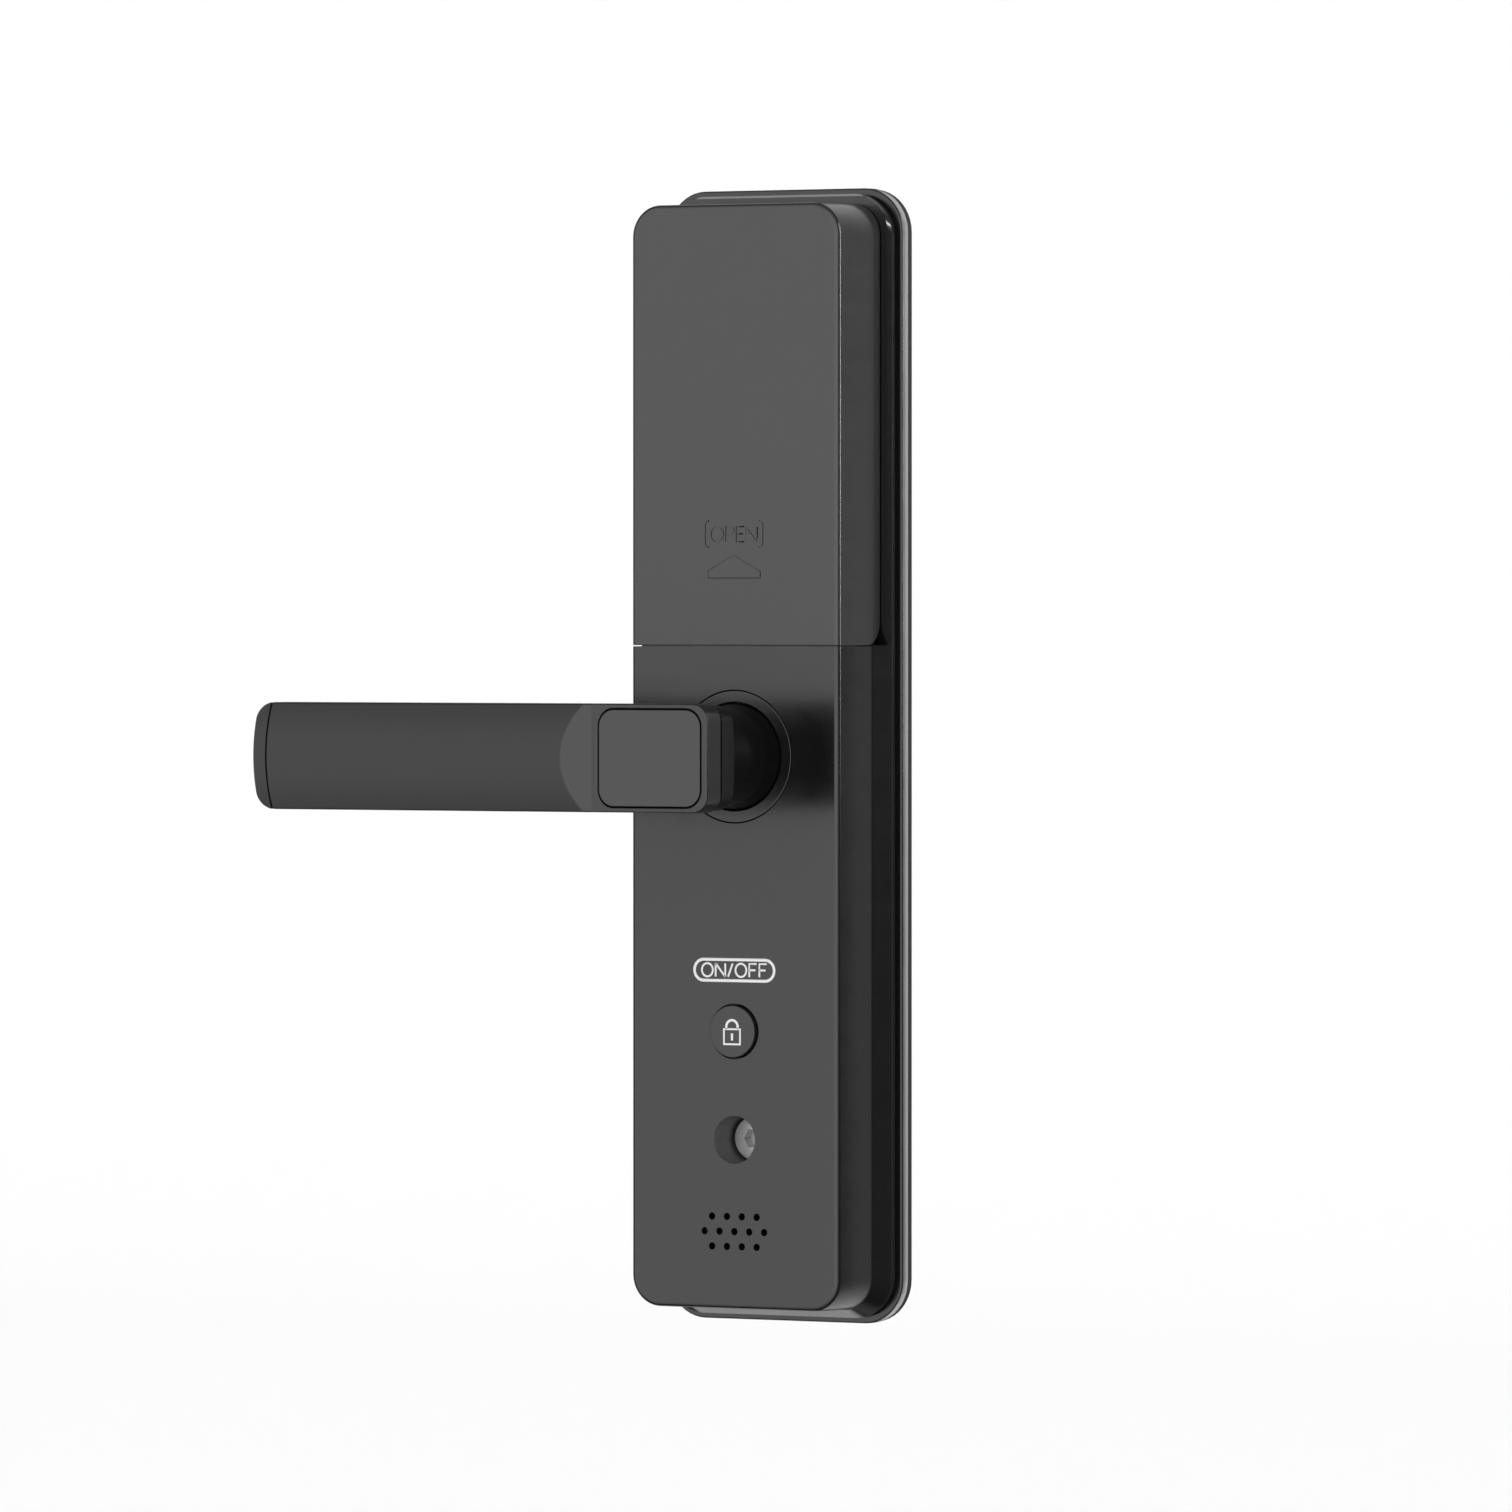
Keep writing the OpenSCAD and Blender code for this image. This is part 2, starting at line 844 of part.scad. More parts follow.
module switch_plunger() {
    color("#b98a3d")
        rod(plunger_r, plunger_front_y, plunger_back_y, 0, button_z);
}

module button_spring() {
    wire_r = 0.3;
    front = button_flange_y + 1 + wire_r + 0.02;
    back = board_front_y - wire_r - 0.02;
    color("#c4c6c8")
        translate([0, 0, button_z])
            rotate([90, 0, 0])
                wire(coil_path([button_spring_r, button_spring_r], [-back, -front], [0, 1800], 80), wire_r);
}

// ---------- handle ----------

// Lays a cross-section along the lever, from one X to another
module along_lever(x0, x1) {
    translate([x1, 0, 0])
        rotate([180, 90, 0])
            linear_extrude(x1 - x0)
                children();
}

// Front half of the section, crowned towards the room; the plan cuts it to its height
module front_half() {
    intersection() {
        translate([-lever_h, -lever_seam_y])
            square([2 * lever_h, crest + lever_seam_y + 1]);
        translate([0, crest - arch_r])
            circle(arch_r, $fn = lever_fn);
    }
}

// Back half of the section, crowned towards the door
module back_half() {
    intersection() {
        translate([-lever_h, -lever_back_y - 1])
            square([2 * lever_h, lever_back_y - lever_seam_y + 1]);
        translate([0, back_arch_r - lever_back_y])
            circle(back_arch_r, $fn = lever_fn);
    }
}

// Outline of the lever as seen from the room: rounded at the hub, and at the tip if asked
module lever_plan(inset = 0, tip = true) {
    reach = tip ? lever_reach : lever_reach + 2 * hub_corner_r;
    translate([(hub_reach - reach) / 2, 0])
        outline(hub_reach + reach - 2 * inset, lever_h - 2 * inset, hub_corner_r);
}

module lever_front() {
    color("#343537")
        difference() {
            intersection() {
                along_lever(cap_x, hub_reach + 1)
                    front_half();
                stand(-crest - 1, 0)
                    lever_plan(0, false);
            }
            scoop();
            // pocket for the inlay plate
            translate([inlay_x, 0, 0])
                slab(
                    inlay_size[0] + 2 * inlay_gap, inlay_size[1] + 2 * inlay_gap, inlay_r + inlay_gap,
                    -hub_front - 1, -hub_front + inlay_t
                );
            // hollow of the grip, closed by the back half
            block_at(
                cap_x + 6, scoop_top_x - 3, lever_h / 2 - grip_wall,
                crown + grip_wall - crest, lever_seam_y + 1
            );
            for (x = [-1, 1])
                rod(2.2, -hub_front, lever_seam_y + 1, x * hub_screw_x);
            for (x = [-1, 1])
                rod(3.9, -hub_front, -hub_front + inlay_t + 2.6, x * hub_screw_x);
        }
}

// Box between two X positions, centred on the lever's height
module block_at(x0, x1, half_h, front, back) {
    translate([x0, front, -half_h])
        cube([x1 - x0, back - front, 2 * half_h]);
}

// Cuts the slope and the flat face of the hub out of the crowned grip
module scoop() {
    far = hub_reach + 5;
    over = crest + 5;
    translate([0, 0, -lever_h])
        linear_extrude(2 * lever_h)
            polygon([
                [scoop_top_x, -crest],
                [scoop_foot_x, -hub_front],
                [far, -hub_front],
                [far, -over],
                [scoop_top_x, -over],
            ]);
}

module lever_back() {
    color("#2c2d2f")
        difference() {
            intersection() {
                along_lever(cap_x, hub_reach + 1)
                    back_half();
                stand(lever_seam_y - 1, 0)
                    lever_plan(back_inset, false);
            }
            block_at(cap_x + 6, scoop_top_x - 3, back_h / 2 - grip_wall, lever_seam_y - 1, lever_back_y - 3);
            // seat for the neck, and holes for the screws that hold it
            rod(neck_r + 0.05, neck_front_y, 0);
            for (x = [-1, 1])
                rod(2.2, lever_seam_y - 1, 0, x * hub_screw_x);
        }
}

module lever_end_cap() {
    color("#2b2c2e") {
        intersection() {
            along_lever(-lever_reach - 1, cap_x - gap)
                front_half();
            stand(-crest - 1, 0)
                lever_plan();
        }
        intersection() {
            along_lever(-lever_reach - 1, cap_x - gap)
                back_half();
            stand(lever_seam_y - eps, 0)
                lever_plan(back_inset);
        }
    }
}

module lever_inlay() {
    color("#3f4042")
        translate([inlay_x, 0, 0])
            slab(inlay_size[0], inlay_size[1], inlay_r, -hub_front, -hub_front + inlay_t);
}

module hub_screws() {
    head_y = -hub_front + inlay_t + 2.6;
    color("#8d8f92")
        for (x = [-1, 1])
            front_screw(x * hub_screw_x, 0, head_y, 3.6, 2.2, 2, 17);
}

// Half of the neck's outline, turned about the handle axis
module neck_section() {
    polygon([
        [0, -neck_front_y],
        [neck_r, -neck_front_y],
        [neck_r, -flare_y],
        [neck_foot_r, -face_y],
        [neck_foot_r, -inner_face_y],
        [journal_r, -inner_face_y],
        [journal_r, -square_y],
        [0, -square_y],
    ]);
}

module handle_neck() {
    color("#151617")
        difference() {
            union() {
                rotate([90, 0, 0])
                    rotate_extrude($fn = round_fn)
                        neck_section();
                block(square_w, -square_w / 2, square_w / 2, square_y - eps, neck_back_y);
            }
            block(
                spindle_w + 0.1, -spindle_w / 2 - 0.05, spindle_w / 2 + 0.05,
                spindle_front_y - 0.1, 0
            );
            for (x = [-1, 1])
                rod(2, neck_front_y - 1, -hub_front + inlay_t + 2.6 + 17.2, x * hub_screw_x);
            translate([0, set_screw_y, -neck_r - 1])
                cylinder(r = 2.5, h = neck_r, $fn = round_fn);
            difference() {
                block(square_w + 2, -square_w, square_w, clip_y - clip_t / 2 - 0.05, clip_y + clip_t / 2 + 0.05);
                rod(clip_groove_r, -20, 0);
            }
        }
}

module set_screw() {
    top = -spindle_w / 2 - 0.02;
    length = 7;
    color("#6f7174")
        translate([0, set_screw_y, top - length])
            difference() {
                cylinder(r = 2.48, h = length, $fn = round_fn);
                translate([0, 0, -1])
                    cylinder(r = 1.4, h = 3.2, $fn = 6);
            }
}

module spindle() {
    color("#a9abad")
        block(spindle_w, -spindle_w / 2, spindle_w / 2, spindle_front_y, spindle_reach);
}

module drive_hub() {
    color("#9a9ca0")
        difference() {
            stand(hub_front_y, hub_back_y) {
                circle(hub_r, $fn = round_fn);
                intersection() {
                    circle(lug_r, $fn = round_fn);
                    wedge(lug_r, -lug_half, lug_half);
                }
            }
            block(square_w + 0.1, -square_w / 2 - 0.05, square_w / 2 + 0.05, -30, 0);
        }
}

module thrust_washer() {
    color("#d9d6cc")
        difference() {
            rod(12.6, hub_back_y + 0.02, clip_y - clip_t / 2 - 0.02);
            block(square_w + 0.2, -square_w / 2 - 0.1, square_w / 2 + 0.1, -30, 0);
        }
}

// Open ring that snaps into the groove of the neck's square end
module retaining_clip() {
    color("#7d7f82")
        difference() {
            tube(11.4, clip_groove_r + 0.02, clip_y - clip_t / 2, clip_y + clip_t / 2);
            translate([0, clip_y, -12])
                cube([7, 3, 14], center = true);
        }
}

// Outline of a block on the inside of the cup's wall
module arc_block(inner_r, from, to) {
    intersection() {
        difference() {
            circle(housing_in_r + 1, $fn = round_fn);
            circle(inner_r, $fn = round_fn);
        }
        wedge(housing_r, from, to);
    }
}

// Cup that holds the bearing and the return spring, with the stops for the lug
module spring_housing() {
    ear_t = 2.2;
    stop_from = lever_turn + lug_half + stop_play;
    color("#77797c")
        difference() {
            union() {
                tube(housing_r, housing_in_r, housing_front_y, base_floor_y);
                tube(housing_r, journal_r + 2.05, housing_front_y, housing_front_y + housing_t);
                for (x = [-1, 1], z = [-1, 1])
                    difference() {
                        rod(4.4, base_floor_y - ear_t, base_floor_y, x * housing_screw_x, z * housing_screw_x);
                        rod(housing_r - 1, -40, 0);
                    }
                for (s = [-1, 1])
                    stand(hub_front_y, hub_back_y)
                        arc_block(hub_r + 1.2, s * stop_from, s * (stop_from + stop_wide));
                stand(post_y[0], post_y[1])
                    arc_block(hub_r + 1.2, -lug_half, lug_half);
            }
            for (x = [-1, 1], z = [-1, 1])
                rod(1.5, -30, 0, x * housing_screw_x, z * housing_screw_x);
        }
}

module bearing_bush() {
    color("#e0ddd2")
        difference() {
            union() {
                rod(journal_r + 2, housing_front_y, -21);
                rod(journal_r + 4.5, housing_front_y - 1.2, housing_front_y);
            }
            rod(journal_r + journal_play, -40, 0);
        }
}

// Torsion spring around the bearing, with a leg on each side of the lug and of the fixed post
module return_spring() {
    r = spring_wire / 2;
    bend = 4;        // turn of the wire in each bend, in degrees of the coil
    bend_l = spring_r * sin(bend);
    back = r + 0.1 - hub_front_y;
    front = back + spring_turns * (spring_wire + 0.05);
    first = 90 + leg_angle;
    last = 90 + 360 * spring_turns - leg_angle;
    color("#8c8f93")
        rotate([90, 0, 0])
            wire(
                concat(
                    [on_coil(spring_r, first, -leg_back_y), on_coil(spring_r, first, back - bend_l)],
                    coil_path([spring_r, spring_r], [back, front], [first + bend, last - bend], 52),
                    [
                        on_coil(spring_r + bend_l, last, front),
                        on_coil(front_leg_r, last, front - bend_l),
                        on_coil(front_leg_r, last, -leg_back_y),
                    ]
                ),
                r
            );
}

function on_coil(r, angle, z) = [r * cos(angle), r * sin(angle), z];

door_gasket();
mounting_plate();
body_gasket();
base_frame();
front_shell();
through_bolts();
shell_screws();
board_screws();
housing_screws();
battery_tray();
batteries();
contact_springs();
contact_plates();
control_board();
board_chips();
cable_socket();
tact_switch();
speaker();
speaker_gasket();
rosette_ring();
spring_housing();
bearing_bush();
return_spring();
lever_front();
lever_back();
lever_end_cap();
lever_inlay();
hub_screws();
handle_neck();
set_screw();
spindle();
drive_hub();
thrust_washer();
retaining_clip();
lock_button();
switch_plunger();
button_spring();
battery_cover();
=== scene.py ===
"""Visible pieces of a smart lock's indoor unit, built around its CAD frame.

Lengths in this file are in millimetres unless a property says otherwise. Meshes are stored in metres.
The origin is on the handle's axis, on the door's face; +X is right, +Y runs into the door, +Z is up.
"""

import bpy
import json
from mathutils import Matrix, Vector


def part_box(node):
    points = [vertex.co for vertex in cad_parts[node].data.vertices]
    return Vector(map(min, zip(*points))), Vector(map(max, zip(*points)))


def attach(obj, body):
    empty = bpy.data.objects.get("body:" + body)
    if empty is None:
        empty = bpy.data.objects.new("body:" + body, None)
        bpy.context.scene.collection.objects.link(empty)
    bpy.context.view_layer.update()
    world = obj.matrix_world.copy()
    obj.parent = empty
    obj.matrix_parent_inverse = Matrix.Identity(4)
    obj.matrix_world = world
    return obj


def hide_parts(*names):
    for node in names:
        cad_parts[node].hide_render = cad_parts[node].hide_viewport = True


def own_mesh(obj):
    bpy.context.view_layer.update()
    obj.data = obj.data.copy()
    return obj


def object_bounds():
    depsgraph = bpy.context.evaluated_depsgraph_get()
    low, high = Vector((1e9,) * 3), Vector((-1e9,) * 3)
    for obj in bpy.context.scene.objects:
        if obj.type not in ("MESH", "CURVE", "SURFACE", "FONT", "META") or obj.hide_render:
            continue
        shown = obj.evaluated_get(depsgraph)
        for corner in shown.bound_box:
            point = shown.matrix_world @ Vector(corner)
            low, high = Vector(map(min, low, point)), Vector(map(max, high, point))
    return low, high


bl_info = {
    "name": "Smart Lock Indoor Unit",
    "version": (1, 0, 0),
    "blender": (4, 5, 0),
    "location": "View3D > Sidebar > Smart Lock",
    "description": "Builds the pieces of a smart lock's indoor unit around its CAD frame",
    "category": "Add Mesh",
}

import json
import math

import bmesh
import bpy
from bpy.props import FloatProperty, FloatVectorProperty, IntProperty, PointerProperty
from mathutils import Matrix, Vector

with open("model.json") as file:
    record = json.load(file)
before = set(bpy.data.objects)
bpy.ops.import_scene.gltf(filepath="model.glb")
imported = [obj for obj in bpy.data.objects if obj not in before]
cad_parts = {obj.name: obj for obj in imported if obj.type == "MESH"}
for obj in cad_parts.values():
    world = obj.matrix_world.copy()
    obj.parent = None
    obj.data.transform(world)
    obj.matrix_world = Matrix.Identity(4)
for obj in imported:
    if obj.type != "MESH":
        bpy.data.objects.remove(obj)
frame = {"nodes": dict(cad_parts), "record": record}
NODES = frame["nodes"]
CAD_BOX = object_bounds()

MM = 0.001


def node_box(node):
    """Lowest and highest corner of a CAD node in millimetres."""
    low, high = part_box(node)
    return low / MM, high / MM


SHELL_LOW, SHELL_HIGH = node_box("front_shell")
COVER_LOW, COVER_HIGH = node_box("battery_cover")
PLATE_HIGH = node_box("mounting_plate")[1]
LEVER_LOW, LEVER_HIGH = node_box("lever_front")
BACK_LOW, BACK_HIGH = node_box("lever_back")
CAP_LOW, CAP_HIGH = node_box("lever_end_cap")
INLAY_LOW, INLAY_HIGH = node_box("lever_inlay")
BUTTON_LOW, BUTTON_HIGH = node_box("lock_button")
BOLT_LOW, BOLT_HIGH = node_box("through_bolts")
BASE_HIGH = node_box("base_frame")[1]

FACE_Y = COVER_LOW.y
SHELL_W = COVER_HIGH.x - COVER_LOW.x
SHELL_TOP = COVER_HIGH.z
SEAM_COVER = COVER_LOW.z
SEAM_SHELL = SEAM_COVER - 0.3
GAP = 0.3
SHELL_BACK = SHELL_HIGH.y
COVER_BACK = COVER_HIGH.y
SHELL_R = 8.8
EDGE_R = 1.4
SHELL_WALL = 2.2
COVER_WALL = 1.9
BUTTON_Z = -74.5
BUTTON_R = 7.3
RECESS_Z = -103.9
RECESS_R = 6.5
GRILLE_Z = -128.8
RECESS_FLOOR_Y = -18
RING_R = 17.9
NECK_HOLE_R = 14.65
CREST_Y = LEVER_LOW.y
HUB_FACE_Y = INLAY_LOW.y
INLAY_X = (INLAY_HIGH.x + INLAY_LOW.x) / 2


# ---------- sizes and colours a user may change ----------


def length(label, text, value, low, high):
    """A length property in metres."""
    return FloatProperty(
        name=label, description=text, default=value, min=low, max=high, unit="LENGTH", precision=5
    )


def colour(label, text, value):
    """A colour property with the usual range."""
    return FloatVectorProperty(
        name=label, description=text, default=value, size=3, min=0.0, max=1.0, subtype="COLOR"
    )


class LockSizes(bpy.types.PropertyGroup):
    edge_break: length("Edge Break", "Width of the bevel on moulded edges", 0.00022, 0.00005, 0.0006)
    lever_edge: length("Lever Edge", "Width of the bevel on the lever's edges", 0.0005, 0.0001, 0.0012)
    grille_pitch: length("Grille Pitch", "Distance between speaker holes", 0.0047, 0.003, 0.006)
    grille_radius: length("Grille Hole Radius", "Radius of each speaker hole", 0.001, 0.0005, 0.0015)
    ink_stroke: length("Ink Stroke", "Width of the printed lines", 0.0008, 0.0003, 0.0015)
    engraving: length("Engraving Depth", "Depth of the cover's legend", 0.00022, 0.0001, 0.001)
    thread_pitch: length("Bolt Thread Pitch", "Distance between a bolt's crests", 0.001, 0.0005, 0.0015)
    curve_steps: IntProperty(
        name="Curve Steps", description="Steps in each quarter turn of a rounded corner",
        default=14, min=6, max=32,
    )


class LockColours(bpy.types.PropertyGroup):
    cover: colour("Cover", "Paint of the battery cover", (0.020, 0.020, 0.0205))
    shell: colour("Shell", "Paint of the lower shell and the ring", (0.0055, 0.0055, 0.0057))
    lever: colour("Lever", "Paint of the lever", (0.008, 0.008, 0.0082))
    inlay: colour("Inlay", "Paint of the plate on the hub", (0.012, 0.012, 0.0123))
    base: colour("Base", "Moulding behind the shell", (0.005, 0.005, 0.0052))
    # The plate colour is the bright metal given only to the plate's side faces: a painted highlight band
    # along its edge.
    plate: colour("Plate", "Anodised edge of the mounting plate", (0.30, 0.30, 0.305))
    rubber: colour("Rubber", "Gaskets and foam", (0.010, 0.010, 0.010))
    ink: colour("Ink", "Printed legends", (0.86, 0.86, 0.86))
    jacket: colour("Cell Jacket", "Sleeve of the cells", (0.03, 0.11, 0.09))
    board: colour("Board", "Solder resist of the circuit board", (0.01, 0.07, 0.035))


def sizes():
    return bpy.context.scene.lock_sizes


def colours():
    return bpy.context.scene.lock_colours


# ---------- finishes ----------


class Nodes:
    """A node tree under construction, with short calls for adding nodes."""

    def __init__(self, tree):
        self.tree = tree

    def plug(self, socket, value):
        """Gives a socket a value, or links another node's output to it."""
        if isinstance(value, bpy.types.NodeSocket):
            self.tree.links.new(value, socket)
        else:
            socket.default_value = value

    def add(self, kind, settings=None, **inputs):
        """Adds a node; settings are its attributes, and underscores in input names stand for spaces."""
        made = self.tree.nodes.new(kind)
        for key, value in (settings or {}).items():
            setattr(made, key, value)
        for key, value in inputs.items():
            self.plug(made.inputs[key.replace("_", " ")], value)
        return made

    def math(self, operation, *values):
        made = self.add("ShaderNodeMath", {"operation": operation})
        for socket, value in zip(made.inputs, values):
            self.plug(socket, value)
        return made.outputs[0]


class Finish(Nodes):
    """A material's node tree, with short calls for the nodes that the finishes share."""

    def __init__(self, name, base, roughness, metallic=0.0):
        self.material = bpy.data.materials.new(name)
        self.material.use_nodes = True
        super().__init__(self.material.node_tree)
        self.shader = self.tree.nodes["Principled BSDF"]
        self.set(Base_Color=(*base, 1), Roughness=roughness, Metallic=metallic)
        self.place = self.add("ShaderNodeTexCoord").outputs["Object"]

    def set(self, **values):
        """Sets the shader's own sockets or links to them; underscores stand for spaces."""
        for name, value in values.items():
            self.plug(self.shader.inputs[name.replace("_", " ")], value)
        return self

    def stretched(self, x, y, z):
        """Object coordinates scaled apart along the axes."""
        return self.add("ShaderNodeMapping", Scale=(x, y, z), Vector=self.place).outputs["Vector"]

    def noise(self, scale, detail=3.0, roughness=0.5, place=None):
        return self.add(
            "ShaderNodeTexNoise", Scale=scale, Detail=detail, Roughness=roughness,
            Vector=place or self.place,
        ).outputs["Fac"]

    def grains(self, scale):
        return self.add("ShaderNodeTexVoronoi", Scale=scale, Vector=self.place).outputs["Distance"]

    def fit(self, value, low, high, from_low=0.3, from_high=0.7):
        """Maps a value onto a range of numbers."""
        return self.add(
            "ShaderNodeMapRange", From_Min=from_low, From_Max=from_high, To_Min=low, To_Max=high,
            Value=value,
        ).outputs["Result"]

    def mix(self, factor, first, second):
        """Mixes two shades, each a colour or another node's output."""
        made = self.add("ShaderNodeMix", {"data_type": "RGBA"}, Factor=factor)
        for socket, shade in ((made.inputs[6], first), (made.inputs[7], second)):
            self.plug(socket, (*shade, 1) if isinstance(shade, tuple) else shade)
        return made.outputs[2]

    def shade(self, value, first, second, most=1.0):
        """Lets the colour wander from a first shade towards a second."""
        self.set(Base_Color=self.mix(self.fit(value, 0.0, most), first, second))

    def rough(self, value, low, high):
        """Lets the roughness wander between two values."""
        self.set(Roughness=self.fit(value, low, high))

    def bumps(self, *heights):
        """Chains bumps, each given as (height output, strength, distance in metres)."""
        below = {}
        for height, strength, distance in heights:
            made = self.add("ShaderNodeBump", Strength=strength, Distance=distance, Height=height, **below)
            below = {"Normal": made.outputs["Normal"]}
        self.set(**below)


def darker(base, share):
    return tuple(channel * share for channel in base)


def satin_paint(name, base, roughness=0.21, grain=1.0, gloss=0.5):
    """Fine sprayed paint: a soft orange-peel, pigment grain and faint handling marks."""
    finish = Finish(name, base, roughness).set(Specular_IOR_Level=gloss)
    pigment = finish.noise(5200, 2.0)
    peel = finish.noise(900, 2.0)
    rubbed = finish.noise(60, 6.0, 0.65, finish.stretched(1.0, 1.0, 3.0))
    clouded = finish.mix(finish.fit(finish.noise(38, 4.0), 0.0, 1.0), darker(base, 0.94), base)
    finish.shade(pigment, clouded, darker(base, 1.12))
    finish.rough(rubbed, roughness - 0.03, roughness + 0.03)
    finish.bumps((peel, 0.05 * grain, 0.00004), (pigment, 0.08 * grain, 0.00001))
    return finish.material


def anodised(name, base, roughness=0.24):
    """Anodised metal over a fine bead-blasted face; here it is the bright metal laid only on the plate's
    side faces, a painted highlight band.
    """
    finish = Finish(name, base, roughness, 1.0)
    cloud = finish.noise(50, 5.0, 0.6)
    finish.shade(cloud, darker(base, 0.9), darker(base, 1.1))
    finish.rough(cloud, roughness - 0.03, roughness + 0.05)
    finish.bumps((finish.noise(3200, 3.0), 0.03, 0.00002))
    return finish.material


def moulded(name, base, roughness=0.5, texture=2600, strength=0.25):
    """Spark-textured moulding with slight shade changes."""
    finish = Finish(name, base, roughness)
    finish.shade(finish.noise(45, 4.0), darker(base, 0.86), darker(base, 1.14))
    finish.rough(finish.noise(220, 3.0), roughness - 0.06, roughness + 0.07)
    finish.bumps((finish.grains(texture), strength, 0.00004), (finish.noise(1400), 0.10, 0.00003))
    return finish.material


def soft_rubber(name, base, roughness=0.78):
    """Gasket rubber: matt, with a dusty bloom and fine pitting."""
    finish = Finish(name, base, roughness)
    bloom = finish.noise(110, 5.0, 0.6)
    finish.shade(bloom, base, darker(base, 2.2), 0.6)
    finish.rough(bloom, roughness - 0.08, roughness + 0.1)
    finish.bumps((finish.noise(1700, 4.0), 0.35, 0.00005))
    return finish.material


def drawn_steel(name, base, roughness=0.3, along=(1.0, 0.03, 1.0), metallic=1.0):
    """Drawn or turned steel with fine lines and dull patches; dulled plating is less metallic."""
    finish = Finish(name, base, roughness, metallic)
    lines = finish.noise(4200, 3.0, 0.6, finish.stretched(*along))
    dull = finish.noise(130, 5.0, 0.6)
    finish.shade(dull, darker(base, 0.78), base)
    finish.rough(dull, roughness - 0.07, roughness + 0.12)
    finish.bumps((lines, 0.22, 0.00003))
    return finish.material


def cast_metal(name, base, roughness=0.46):
    """Pressure-cast zinc: a faint skin of flow marks and pores."""
    finish = Finish(name, base, roughness, 1.0)
    flow = finish.noise(85, 6.0, 0.62)
    finish.shade(flow, darker(base, 0.72), darker(base, 1.1))
    finish.rough(flow, roughness - 0.08, roughness + 0.14)
    finish.bumps((flow, 0.2, 0.0002), (finish.grains(900), 0.2, 0.00006))
    return finish.material


def natural_nylon(name, base):
    """Natural nylon: slightly waxy, with light passing a little way in."""
    finish = Finish(name, base, 0.38).set(Subsurface_Weight=0.15, Subsurface_Scale=0.0008)
    cloud = finish.noise(160, 4.0)
    finish.shade(cloud, darker(base, 0.9), base)
    finish.rough(cloud, 0.3, 0.46)
    finish.bumps((finish.noise(1900, 3.0), 0.16, 0.00004))
    return finish.material


def printed_ink(name, base):
    """Screen-printed ink with slightly uneven cover."""
    finish = Finish(name, base, 0.5)
    patch = finish.noise(1500, 4.0, 0.6)
    finish.shade(patch, darker(base, 0.93), base)
    finish.rough(patch, 0.42, 0.6)
    finish.bumps((finish.noise(3800, 2.0), 0.2, 0.00002))
    return finish.material


def circuit_board(name, base):
    """Solder resist over copper runs, with the runs standing slightly proud."""
    finish = Finish(name, base, 0.3)
    upright = finish.add("ShaderNodeMapping", Rotation=(math.radians(90), 0, 0), Vector=finish.place)
    runs = finish.add(
        "ShaderNodeTexBrick", Vector=upright.outputs["Vector"], Scale=240, Mortar_Size=0.035
    ).outputs["Fac"]
    cloud = finish.noise(90, 4.0)
    resist = finish.mix(finish.fit(cloud, 0.0, 1.0), darker(base, 0.8), darker(base, 1.2))
    finish.set(Base_Color=finish.mix(runs, resist, darker(base, 1.9)))
    finish.rough(cloud, 0.24, 0.38)
    finish.bumps((runs, 0.4, 0.00004), (finish.noise(2200), 0.08, 0.00003))
    return finish.material


def cell_sleeve(name, base):
    """Shrink sleeve of a cell: dark body with a pale band near one end."""
    finish = Finish(name, base, 0.24).set(Coat_Weight=0.4, Coat_Roughness=0.12)
    along = finish.add("ShaderNodeSeparateXYZ", Vector=finish.place).outputs["X"]
    band = finish.fit(along, 0.0, 1.0, 0.0118, 0.0121)
    wrinkle = finish.noise(90, 4.0, 0.5, finish.stretched(0.4, 2.0, 2.0))
    body = finish.mix(finish.fit(wrinkle, 0.0, 1.0), darker(base, 0.85), darker(base, 1.15))
    finish.set(Base_Color=finish.mix(band, body, (0.55, 0.53, 0.47)))
    finish.rough(wrinkle, 0.18, 0.34)
    finish.bumps((wrinkle, 0.12, 0.0002))
    return finish.material


FINISHES = {}


